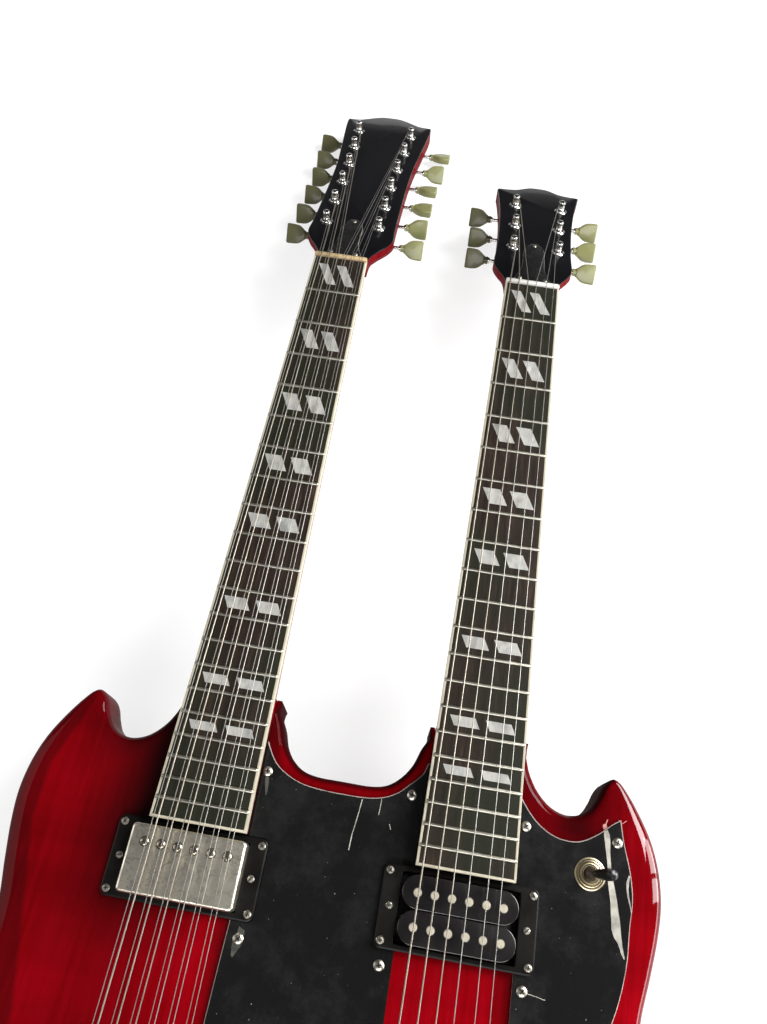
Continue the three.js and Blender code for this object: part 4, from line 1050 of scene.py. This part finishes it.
def make_machines(neck, places, lie):
    for m, rest in zip(places, neck["rest"]):
        left = m["side"] < 0
        name = f"{neck['tag']}_{'left' if left else 'right'}_{m['i'] + 1}"
        post = moved(shifted(lathe(POST_PROFILE), m["u"], m["v"]), lie)
        node = f"tuner_post_{name}"
        build(f"post_{name}", post, CHROME, f"{node}_body", node=node)
        at = lie @ Matrix.Translation((m["u"], m["v"] + WORM_OFFSET, WORM_LEVEL))
        at = at @ turned(pi if left else 0) @ turned(radians(rest), "X")
        reach = abs(m["edge"] - abs(m["u"])) + REACH_PAST_EDGE
        body = f"tuner_button_{name}_body"
        # The left buttons take the green's darker copy, as painted shade
        build(f"button_{name}", moved(button_shape(reach), at), GREEN_SHADED if left else GREEN, body,
              45, f"tuner_button_{name}")
        stem = lathe([*WORM, *((r, reach + z) for r, z in SHAFT_END)], 20)
        build(f"button_shaft_{name}", moved(stem, at @ turned(pi / 2, "Y")), CHROME, body)


# ---------------------------------------------------------------- pickguard

GUARD_PLAN = [
    (0.63, 0.915), (0.6, 0.89), (0.51, 0.862), (0.42, 0.838), (0.28, 0.821), (0, 0.816), (-0.28, 0.821),
    (-0.42, 0.834), (-0.54, 0.857), (-0.62, 0.89), (-0.66, 0.915), (-0.66, 0.69), (-0.62, 0.69),
    (-0.615, 0.1), (-0.5, 0.045), (0, 0.025), (0.45, 0.045), (0.56, 0.1), (1.26, 0.24), (1.4, 0.265),
    (1.55, 0.32), (1.68, 0.39), (1.775, 0.475), (1.828, 0.57), (1.84, 0.652), (1.85, 0.706), (1.835, 0.758),
    (1.797, 0.82), (1.777, 0.866), (1.735, 0.854), (1.66, 0.827), (1.57, 0.806), (1.478, 0.804),
    (1.384, 0.819), (1.309, 0.847), (1.245, 0.886), (1.2, 0.93), (0.8, 0.93),
]
BETWEEN_PICKUPS = [(45.3, -20), (113.3, -20), (113.3, 142.25), (45.3, 142.25)]
RING_WINDOW, SWITCH_WINDOW = (91.6, 45.6), 4.4
# The pale ply under the black layer, and how much of it shows round the edge
PLY_TOP, PLY_SHOWN = 39.55, 0.5
GUARD_SCREWS = [
    (-47.3, 224.3), (-43, 132.3), (42.8, 225.4), (113.1, 219.3), (168, 219.1), (38, 132.5), (118.5, 133.1),
    (-45.5, 62), (40, 18), (118.4, 84), (150, 106),
]
# Places of the wear in millimetres: where the black layer has lifted, scuffs under two screws, scratches
TORN_STRIP = [
    (162.0, 225.6), (159.8, 224.3), (159.9, 222.4), (160.7, 218.3), (161.5, 213.5), (162.4, 208.8),
    (163.0, 204.1), (163.5, 196.0), (164.7, 190.1), (165.5, 185.0), (165.8, 181.1), (166.3, 175.9),
    (166.6, 172.1), (168.1, 168.5), (170.1, 166.3), (171.4, 163.9), (172.5, 160.9), (174.0, 158.4),
    (174.7, 158.5), (174.0, 161.2), (173.2, 164.2), (172.8, 166.7), (172.3, 169.2), (171.8, 173.0),
    (171.3, 176.8), (170.2, 181.8), (169.5, 185.6), (168.4, 190.8), (166.9, 196.5), (165.1, 204.4),
    (164.5, 209.1), (164.0, 213.9), (164.0, 218.8), (163.3, 222.9),
]
TEAR = [
    (175.4, 202.4), (174.2, 198.5), (174.4, 194.5), (175.1, 190.6), (176.2, 187.4), (177.5, 182.7),
    (177.8, 182.8), (176.9, 187.6), (176.1, 190.7), (175.5, 194.6), (175.8, 198.7), (176.3, 202.3),
]
SCUFFS = [
    [(-48.0, 220.7), (-45.6, 221.3), (-44.9, 216.9), (-44.8, 212.0), (-45.0, 209.9), (-46.3, 213.3)],
    [(-43.8, 138.5), (-42.2, 137.7), (-40.2, 137.0), (-40.0, 133.8), (-40.1, 130.9), (-41.0, 128.2),
     (-42.7, 125.0), (-44.0, 122.6), (-45.0, 123.6), (-45.6, 127.4), (-45.8, 130.3), (-44.4, 134.8)],
]
SCRATCHES = [
    (0.5, [(13.2, 218.0), (12.2, 208.7), (10.6, 197.5), (10.2, 188.5)]),
    (0.35, [(24.8, 220.0), (24.8, 215.4), (24.4, 210.7)]),
    (0.4, [(31.8, 206.8), (32.9, 203.9)]),
    (0.3, [(121.6, 132.5), (126.6, 131.9), (131.7, 131.0)]),
]
BODY_SPUR = [
    (159.5, 228.3), (161.2, 229.3), (162.1, 231.9), (162.5, 231.6), (161.7, 229.1), (162.6, 225.9),
    (160.4, 224.8),
]
BODY_SCRATCHES = [[(173.9, 233.0), (171.0, 230.7)], [(169.2, 232.5), (170.7, 231.7)]]


def guard_windows():
    """Cutters for the necks, for the pickups and rings that pass the guard, and for the switches."""
    low, on_guard = 30, (SIX_PICKUP_X, RING_Y)
    windows = [neck_room(x, low) for x in (-NECK_X, NECK_X)]
    windows.append(cavity(*on_guard, low))
    windows += [slab(rounded(*RING_WINDOW, 4, 5, *p), low, ABOVE) for p in RING_PLACES if p != on_guard]
    windows.append(slab(BETWEEN_PICKUPS, low, ABOVE))
    return windows + [round_hole(*p, SWITCH_WINDOW, low) for p in TOGGLES]


def make_guard():
    outline = softened([place(p) for p in GUARD_PLAN], 5, 35)
    ply = build("guard_edge", slab(outline, BODY_TOP + SEAT, PLY_TOP), GUARD_EDGE)
    layer = slab(grown(outline, -PLY_SHOWN), PLY_TOP - SEAT, GUARD_TOP, 0.25)
    top = build("guard_top", layer, GUARD)
    windows = guard_windows()
    for piece in (ply, top):
        for window in windows:
            carve(piece, window, 8, own=True)
    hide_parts("pickguard")
    build_screws("guard_screws", [(x, y, GUARD_TOP) for x, y in GUARD_SCREWS], 3.1, 1.3)


def make_wear():
    low = GUARD_TOP - 0.3
    scuffs = [slab(outline, low, GUARD_TOP + 0.03) for outline in SCUFFS]
    build("guard_scuffs", merged(*scuffs), SCUFF)
    chips = [slab(BODY_SPUR, BODY_TOP - 0.3, BODY_TOP + PROUD)]
    chips += [tube(level(line, BODY_TOP - 0.1), 0.2, 6) for line in BODY_SCRATCHES]
    build("body_chips", merged(*chips), CHIP)
    tears = [slab(outline, low, GUARD_TOP + PROUD) for outline in (TORN_STRIP, TEAR)]
    tears += [tube(level(line, GUARD_TOP - radius * 0.7), radius, 6) for radius, line in SCRATCHES]
    build("guard_tears", merged(*tears), TORN)


# ---------------------------------------------------------------- pickups

RING_HEIGHT = 3.6
# Kind, places, radius and height of a ring's screws
RING_SCREWS = [
    ("ring", [(sx * 41.9, sy * 18.4) for sx in (-1, 1) for sy in (-1, 1)], 2.3, 1.1),
    ("height", [(-39.6, 0), (39.6, 0)], 2.1, 1.0),
]
COVERED_RISE, OPEN_RISE = 13.4, 10.6
PICKUP_DEPTH = 15
COIL_SHIFT = 9.3
POLE_PITCH, HOLE_GAP, SLIT_SHARE = 9.9, 0.45, 0.86
# Width, length, corner radius and steps of a corner
COIL, FLANGE = (65.6, 16.6, 8.2, 8), (67.2, 18.2, 9.0, 10)
# Shares of a pole's radius, and heights
DOMED = [(0, -1), (1, -1), (1, 0.3), (0.9, 0.6), (0.65, 0.85), (0.3, 0.96), (0, 0.98)]
FLAT = [(0, -1), (1, -1), (1, 0.45), (0.9, 0.7), (0, 0.72)]


def ring_shape(x, y, base):
    outer = rounded(*RING_SIZE, 4, 6, x, y)
    inner = rounded(PICKUP_SIZE[0] + 0.6, PICKUP_SIZE[1] + 0.6, 1.0, 6, x, y)
    top = base + RING_HEIGHT
    rings = [
        level(outer, base), level(outer, top - 1.1), level(grown(outer, -0.3), top - 0.35),
        level(grown(outer, -1.0), top), level(grown(inner, 0.4), top), level(inner, top - 0.3),
        level(inner, base),
    ]
    return loft(rings + rings[:1], caps=False)


def build_poles(name, x, ys, z, body, radius=2.5, flat=False):
    """Six poles in each row, in holes of painted shade, with slots of painted shade across them when they are
    domed.
    """
    spots = [Matrix.Translation((x + (i - 2.5) * POLE_PITCH, y, z)) for y in ys for i in range(6)]
    disc = lathe([(r * radius, h) for r, h in (FLAT if flat else DOMED)], 24)
    rim = radius + HOLE_GAP
    hole = lathe([(0, 0), (rim, 0), (rim, 0.05), (0, 0.05)], 24)
    build(name, merged(*(moved(disc, at) for at in spots)), POLE_FLAT if flat else POLE, body)
    build(name + "_holes", merged(*(moved(hole, at) for at in spots)), RECESS_SHADE, body)
    if not flat:
        reach = radius * SLIT_SHARE
        slit = block(-reach, reach, -0.32, 0.32, 0.3, 0.99)
        slits = [moved(slit, at @ turned(radians(25 + 53 * i))) for i, at in enumerate(spots)]
        build(name + "_slots", merged(*slits), RECESS_SHADE, body)


def make_covered(name, node, x, y, top, body):
    cover = slab(rounded(*PICKUP_SIZE, 2.6, 6, x, y), top - PICKUP_DEPTH, top, 1.7, steps=6)
    build(f"{name}_cover", cover, NICKEL, body, 45, node)
    build_poles(f"{name}_poles", x, [y + 9.2], top, body)


def make_open(name, node, x, y, top, body):
    base = slab(rounded(*PICKUP_SIZE, 2, 4, x, y), top - PICKUP_DEPTH, top - 11.6, 0.3)
    build(f"{name}_base", base, BLACK, body, node=node)
    rows = [y + s * COIL_SHIFT for s in (-1, 1)]
    coils = [slab(rounded(*COIL, x, row), top - 12, top - 3.2) for row in rows]
    build(f"{name}_coils", merged(*coils), BLACK, body)
    flanges = [slab(rounded(*FLANGE, x, row), top - 3.3, top, 0.6, 0.4) for row in rows]
    build(f"{name}_bobbins", merged(*flanges), BOBBIN_BLACK, body, crease=40)
    build_poles(f"{name}_poles", x, [y + 9.0, y - 9.0], top, body, 2.35, True)


def make_ring(tag, where, x, y, base, node=None):
    build(f"ring_{tag}_{where}", ring_shape(x, y, base), RING_BLACK, crease=18, node=node)
    for kind, corners, radius, height in RING_SCREWS:
        spots = [(x + a, y + b, base + RING_HEIGHT) for a, b in corners]
        build_screws(f"{kind}_screws_{tag}_{where}", spots, radius, height, kind == "ring")


def make_pickups():
    on_body, on_guard = BODY_TOP + SEAT, GUARD_TOP + SEAT
    rows = (("12", TWELVE_PICKUP_X, on_body, make_covered), ("6", SIX_PICKUP_X, on_guard, make_open))
    for tag, x, base, _ in rows:
        make_ring(tag, "neck", x, RING_Y, base, f"pickup_ring_{tag}_neck")
    for (tag, x, _, make), rise in zip(rows, (COVERED_RISE, OPEN_RISE)):
        node = f"pickup_{tag}_neck"
        make(f"neck_pickup_{tag}", node, x, RING_Y, BODY_TOP + rise, f"{node}_body")
    for tag, x, _, make in rows:
        node = f"pickup_{tag}_bridge"
        make_ring(tag, "bridge", x, BRIDGE_PICKUP_Y, on_body)
        make(f"bridge_pickup_{tag}", node, x, BRIDGE_PICKUP_Y, top_of(node) - 1.0, "guitar")


# ---------------------------------------------------------------- bridges and tailpieces

SADDLE_TOP = STRING_AT_BRIDGE - 0.5
BAR_LOW = SADDLE_TOP - 8.7
# How far the bridge's posts and the tailpiece's studs stand from the middle
POST_X, STUD_X = 37, 41
# A saddle's section: (along, height, share of the end's fall), its half width and its ends
SADDLE = [(-3.4, -2.8, 0), (3.4, -2.8, 0), (3.2, -1.2, 1), (0.5, 0, 1), (-0.5, 0, 1), (-3.2, -1.6, 1)]
SADDLE_HALF, SADDLE_ENDS = 3.1, [(0, -0.5), (0.4, 0)]
SADDLE_SCREW = [(0, -5.9), (1.6, -5.9), (1.6, -5.2), (0.8, -5.1), (0.8, 4), (0, 4)]
BRIDGE_POST = [(0, 32), (3, 32), (3, 43)]
BRIDGE_POST += [(3, SADDLE_TOP - 2.0), (2.4, SADDLE_TOP - 1.4), (0, SADDLE_TOP - 1.3)]
WHEEL = [(3, -2.2), (6.3, -2.2), (6.5, -1.8), (6.5, -0.8), (6.3, -0.4), (3, -0.4)]
TAILPIECE_Y, TAILPIECE_LOW, TAILPIECE_HALF = -46.0, 44.0, 49.0
TAILPIECE_MIDDLE = 4.95
TAILPIECE_PROFILE = [
    (-7.6, 3.0), (-7.0, 7.4), (-5.0, 10.2), (-1.5, 11.0), (2.5, 10.6), (5.6, 8.6), (7.4, 5.6), (7.8, 3.0),
    (6.4, 0.6), (3.0, 0.0), (-4.0, 0.0), (-6.8, 0.9),
]
TAPER = [(0, 0.35), (0.8, 0.7), (2.4, 0.93), (4.5, 1)]
STUD = [(0, 34), (5, 34), (5, 38.3), (6.2, 38.4), (6.2, 39.6), (3.6, 39.8), (3.6, 48), (5, 48.1)]


def make_bridge(neck):
    tag, x = neck["tag"], neck["x"]
    bar = slab(rounded(88, 12, 5.4, 8, x, 0), BAR_LOW, SADDLE_TOP - 2.4, 0.9, 0.5)
    build(f"bridge_bar_{tag}", bar, BRIDGE_METAL, crease=40, node=f"bridge_{tag}")
    centres = strings_across(neck, 0)
    if tag == "12":
        centres = [(a + b) / 2 for a, b in zip(centres[::2], centres[1::2])]
    saddles, screws = [], []
    for centre in centres:
        cx = x + centre
        saddles.append(loft([
            [(cx + dx, y, SADDLE_TOP + z + share * fall) for y, z, share in SADDLE]
            for dx, fall in both_ends(SADDLE_HALF, SADDLE_ENDS)
        ]))
        at = Matrix.Translation((cx, 0, SADDLE_TOP - 3.2)) @ turned(-pi / 2, "X")
        screws.append(moved(lathe(SADDLE_SCREW, 12), at))
    build(f"saddles_{tag}", merged(*saddles), BRIDGE_METAL, crease=30)
    build(f"saddle_screws_{tag}", merged(*screws), STEEL)
    wheel = [(radius, BAR_LOW + z) for radius, z in WHEEL]
    profiles = ((BRIDGE_POST, 20), (wheel, 28))
    posts = [shifted(lathe(*profile), x + s) for s in (-POST_X, POST_X) for profile in profiles]
    build(f"bridge_posts_{tag}", merged(*posts), CHROME)


def make_tailpiece(neck):
    tag, x, y = neck["tag"], neck["x"], TAILPIECE_Y
    top = top_of(f"tailpiece_{tag}")
    closed = [(a, b, 0) for a, b in [*TAILPIECE_PROFILE, TAILPIECE_PROFILE[0]]]
    profile = [(p.x, p.y - TAILPIECE_MIDDLE) for p in curve(closed, 3)[:-1]]
    centre = TAILPIECE_LOW + TAILPIECE_MIDDLE
    bar = loft([
        [(x + across, y + a * scale, centre + b * scale) for a, b in profile]
        for across, scale in both_ends(TAILPIECE_HALF, TAPER)
    ])
    build(f"tailpiece_bar_{tag}", bar, BRIDGE_METAL, crease=40, node=f"tailpiece_{tag}")
    stud = lathe([*STUD, (5, top - 1.0), (4.2, top - 0.3), (0, top - 0.2)])
    # The studs' slots are dark marks of painted shade
    slit = block(-3.8, 3.8, -0.6, 0.6, top - 0.9, top - 0.15)
    for name, shape, material in (("studs", stud, CHROME), ("slots", slit, RECESS_SHADE)):
        both = merged(*(shifted(shape, x + s, y) for s in (-STUD_X, STUD_X)))
        build(f"tailpiece_{name}_{tag}", both, material)


# ---------------------------------------------------------------- controls and fittings

KNOB_SKIRT = [(0, 0), (12.4, 0), (12.5, 0.8), (12.0, 1.8), (10.6, 3.2), (9.6, 4.6), (9.1, 6.2), (0, 6.2)]
KNOB_LOW, KNOB_HEIGHT = 38.35, 15
FLUTES, FLUTE_DEPTH = 72, 0.25
TILT_LEVEL, REST_TILT = 41.9, radians(20)
STRAP_LEVEL, MARK_OUT = 19.0, 5.2
WASHER = [
    (4.3, 40.4), (9.2, 40.4), (9.2, 40.9), (8.9, 41.1), (8.3, 41.15), (8.1, 40.7), (7.7, 40.7), (7.5, 41.3),
    (7.0, 41.45), (6.8, 40.9), (6.4, 40.9), (6.2, 41.9), (5.9, 42.3), (5.3, 42.4), (5.1, 41.8), (4.8, 41.8),
    (4.6, 42.2), (4.3, 42.2), (4.3, 40.4),
]
WASHER_GROOVES = [(7.7, 8.1, 40.8), (6.4, 6.8, 41.0), (4.8, 5.1, 41.9)]
WASHER_THROAT = [(0, 40.6), (4.25, 40.6), (4.25, 41.6), (0, 41.6)]
LEVER_STEM = [
    (0, -3.9), (2.2, -3.3), (3.6, -1.8), (4.1, 0), (3.6, 1.9), (2.4, 3.2), (1.6, 4.2), (1.6, 13), (0, 13.1),
]
LEVER_TIP = [
    (0, 6.0), (2.6, 6.0), (2.9, 7.0), (3.0, 12.0), (3.3, 16.0), (3.4, 19.5), (3.2, 21.8), (2.5, 23.4),
    (1.2, 23.95), (0, 24.0),
]
SOCKET = [
    (3.4, 37.9), (9, 37.9), (9, 39.6), (8.5, 40.2), (6.4, 40.3), (6.2, 39.9), (5.0, 39.9), (4.8, 40.3),
    (3.5, 40.35), (3.4, 37.9),
]
STRAP_BUTTON = [
    (0, -3), (4, -3), (4, 0.2), (6.2, 0.3), (6.2, 0.9), (4.2, 1.4), (3.8, 3.5), (4.2, 7.6), (5.6, 9.0),
    (6.5, 9.9), (6.5, 11.2), (5.8, 11.9), (3.0, 12.0), (2.6, 11.4), (0, 11.4),
]


def fluted(radius):
    rims = (circle(radius, FLUTES), circle(radius - FLUTE_DEPTH, FLUTES))
    return [rims[k % 2][k] for k in range(FLUTES)]


def make_knobs():
    for n, (x, y) in enumerate(KNOBS):
        node = f"knob_{n + 1}"
        body, top = f"{node}_body", top_of(node)
        base = max(KNOB_LOW, top - KNOB_HEIGHT)
        skirt = lathe([(radius, base + z) for radius, z in KNOB_SKIRT], 40)
        grips = ((base + 6.0, 9.2), (base + 13.6, 8.5), (base + 14.6, 8.1), (top - 0.02, 7.2))
        crown = loft([level(fluted(radius), z) for z, radius in grips])
        build(f"control_{node}", shifted(merged(skirt, crown), x, y), BLACK, body, crease=28, node=node)
        mark = lathe([(0, top - 0.3), (1.0, top - 0.3), (1.0, top), (0, top)], 12)
        build(f"{node}_mark", shifted(mark, x, y + MARK_OUT), NUT_WHITE, body)
        shaft = lathe([(0, base - 14), (3, base - 14), (3, base + 1), (0, base + 1)], 16)
        build(f"{node}_shaft", shifted(shaft, x, y), STEEL, body)


def make_switches():
    # Rings of painted shade in the washer's grooves, and a disc of painted shade in its throat
    dark = [
        lathe([(a, z - 0.2), (b, z - 0.2), (b, z), (a, z), (a, z - 0.2)], 36) for a, b, z in WASHER_GROOVES
    ]
    dark.append(lathe(WASHER_THROAT, 36))
    for node, (x, y) in zip(("pickup_selector", "neck_selector"), TOGGLES):
        tilt = Matrix.Translation((x, y, TILT_LEVEL)) @ turned(REST_TILT, "Y")
        body = f"{node}_body"
        build(f"{node}_washer", shifted(lathe(WASHER, 36), x, y), BRASS_PALE)
        build(f"{node}_grooves", shifted(merged(*dark), x, y), THROAT)
        build(f"{node}_stem", moved(lathe(LEVER_STEM, 24), tilt), THROAT, body)
        build(f"{node}_tip", moved(lathe(LEVER_TIP, 24), tilt), BLACK, body, node=node)


def make_fittings():
    build("jack_socket", shifted(lathe(SOCKET, 36), *JACK), CHROME)
    side = Matrix.Translation((0, -TAIL, STRAP_LEVEL)) @ turned(pi / 2, "X")
    build("strap_button", moved(lathe(STRAP_BUTTON, 32), side), CHROME)


# ---------------------------------------------------------------- stage, light and camera

FLOOR_REACH, FLOOR_GAP = 8, 0.0004
# Name, place, target, size and power of each lamp; the two panes show in the gloss of the right edge
LAMPS = [
    ("window", (1.75, 1.3, 1.8), (0.05, 0.2, 0.03), (1.0, 1.6), 100),
    ("fill", (-2.0, 0.15, 1.0), (0, 0.3, 0.03), (1.4, 2.0), 13),
    ("front", (0.5, -1.8, 2.0), (0, 0.35, 0), (2.2, 1.0), 72),
    ("side", (1.5, 0.15, 0.3), (0.1, 0.2, 0.03), (1.1, 0.3), 8),
    ("pane_far", (1.5, 0.617, 0.74), (0.1, 0.617, 0.74), (0.28, 1.2), 13),
    ("pane_near", (1.5, 0.36, 0.74), (0.1, 0.36, 0.74), (0.16, 1.2), 7.5),
]
# The camera was solved from the photograph: its place, and the directions to its right and ahead
CAMERA_PLACE = (0.0280, 0.1618, 0.5592)
CAMERA_RIGHT = (0.9859, 0.1666, 0.0148)
CAMERA_AHEAD = (-0.0598, 0.4338, -0.8990)
CAMERA_LENS = 28.37


def make_stage():
    mesh = bpy.data.meshes.new("floor")
    z = cad_bounds[0][2] - FLOOR_GAP
    corners = ((-1, -1), (1, -1), (1, 1), (-1, 1))
    mesh.from_pydata([(a * FLOOR_REACH, b * FLOOR_REACH, z) for a, b in corners], [], [(0, 1, 2, 3)])
    pale = finish("pale_floor", (0.35, 0.35, 0.35), 0.9, mottle=0.0, specular=0.0)
    inputs = pale.node_tree.nodes["Principled BSDF"].inputs
    inputs["Emission Color"].default_value = (1, 1, 1, 1)
    inputs["Emission Strength"].default_value = 0.7
    mesh.materials.append(pale)
    link("floor", mesh)


def make_light():
    world = bpy.data.worlds.new("studio")
    world.use_nodes = True
    sky = world.node_tree.nodes["Background"].inputs
    sky["Color"].default_value = (1, 1, 1, 1)
    sky["Strength"].default_value = 0.05
    bpy.context.scene.world = world
    for name, where, target, size, power in LAMPS:
        lamp = bpy.data.lights.new(name, "AREA")
        lamp.shape = "RECTANGLE"
        lamp.size, lamp.size_y = size
        lamp.energy = power
        holder = link(name, lamp)
        holder.location = where
        holder.rotation_euler = (Vector(target) - Vector(where)).to_track_quat("-Z", "Y").to_euler()
    bpy.context.scene.view_settings.view_transform = "Standard"
    bpy.context.scene.view_settings.look = "None"


def make_camera():
    camera = bpy.data.cameras.new("camera")
    camera.lens = CAMERA_LENS
    camera.sensor_width = 36
    camera.sensor_fit = "AUTO"
    camera.clip_start = 0.01
    holder = link("camera", camera)
    right, ahead = Vector(CAMERA_RIGHT).normalized(), Vector(CAMERA_AHEAD).normalized()
    up = right.cross(ahead).normalized()
    holder.matrix_world = Matrix.Translation(CAMERA_PLACE) @ Matrix((right, up, -ahead)).transposed().to_4x4()
    bpy.context.scene.camera = holder


make_body()
for neck in NECKS:
    places, lie = make_neck(neck)
    make_board(neck)
    make_strings(neck, places, lie)
    make_machines(neck, places, lie)
    make_bridge(neck)
    make_tailpiece(neck)
make_guard()
make_wear()
make_pickups()
make_knobs()
make_switches()
make_fittings()
make_stage()
make_light()
make_camera()

bpy.context.view_layer.update()
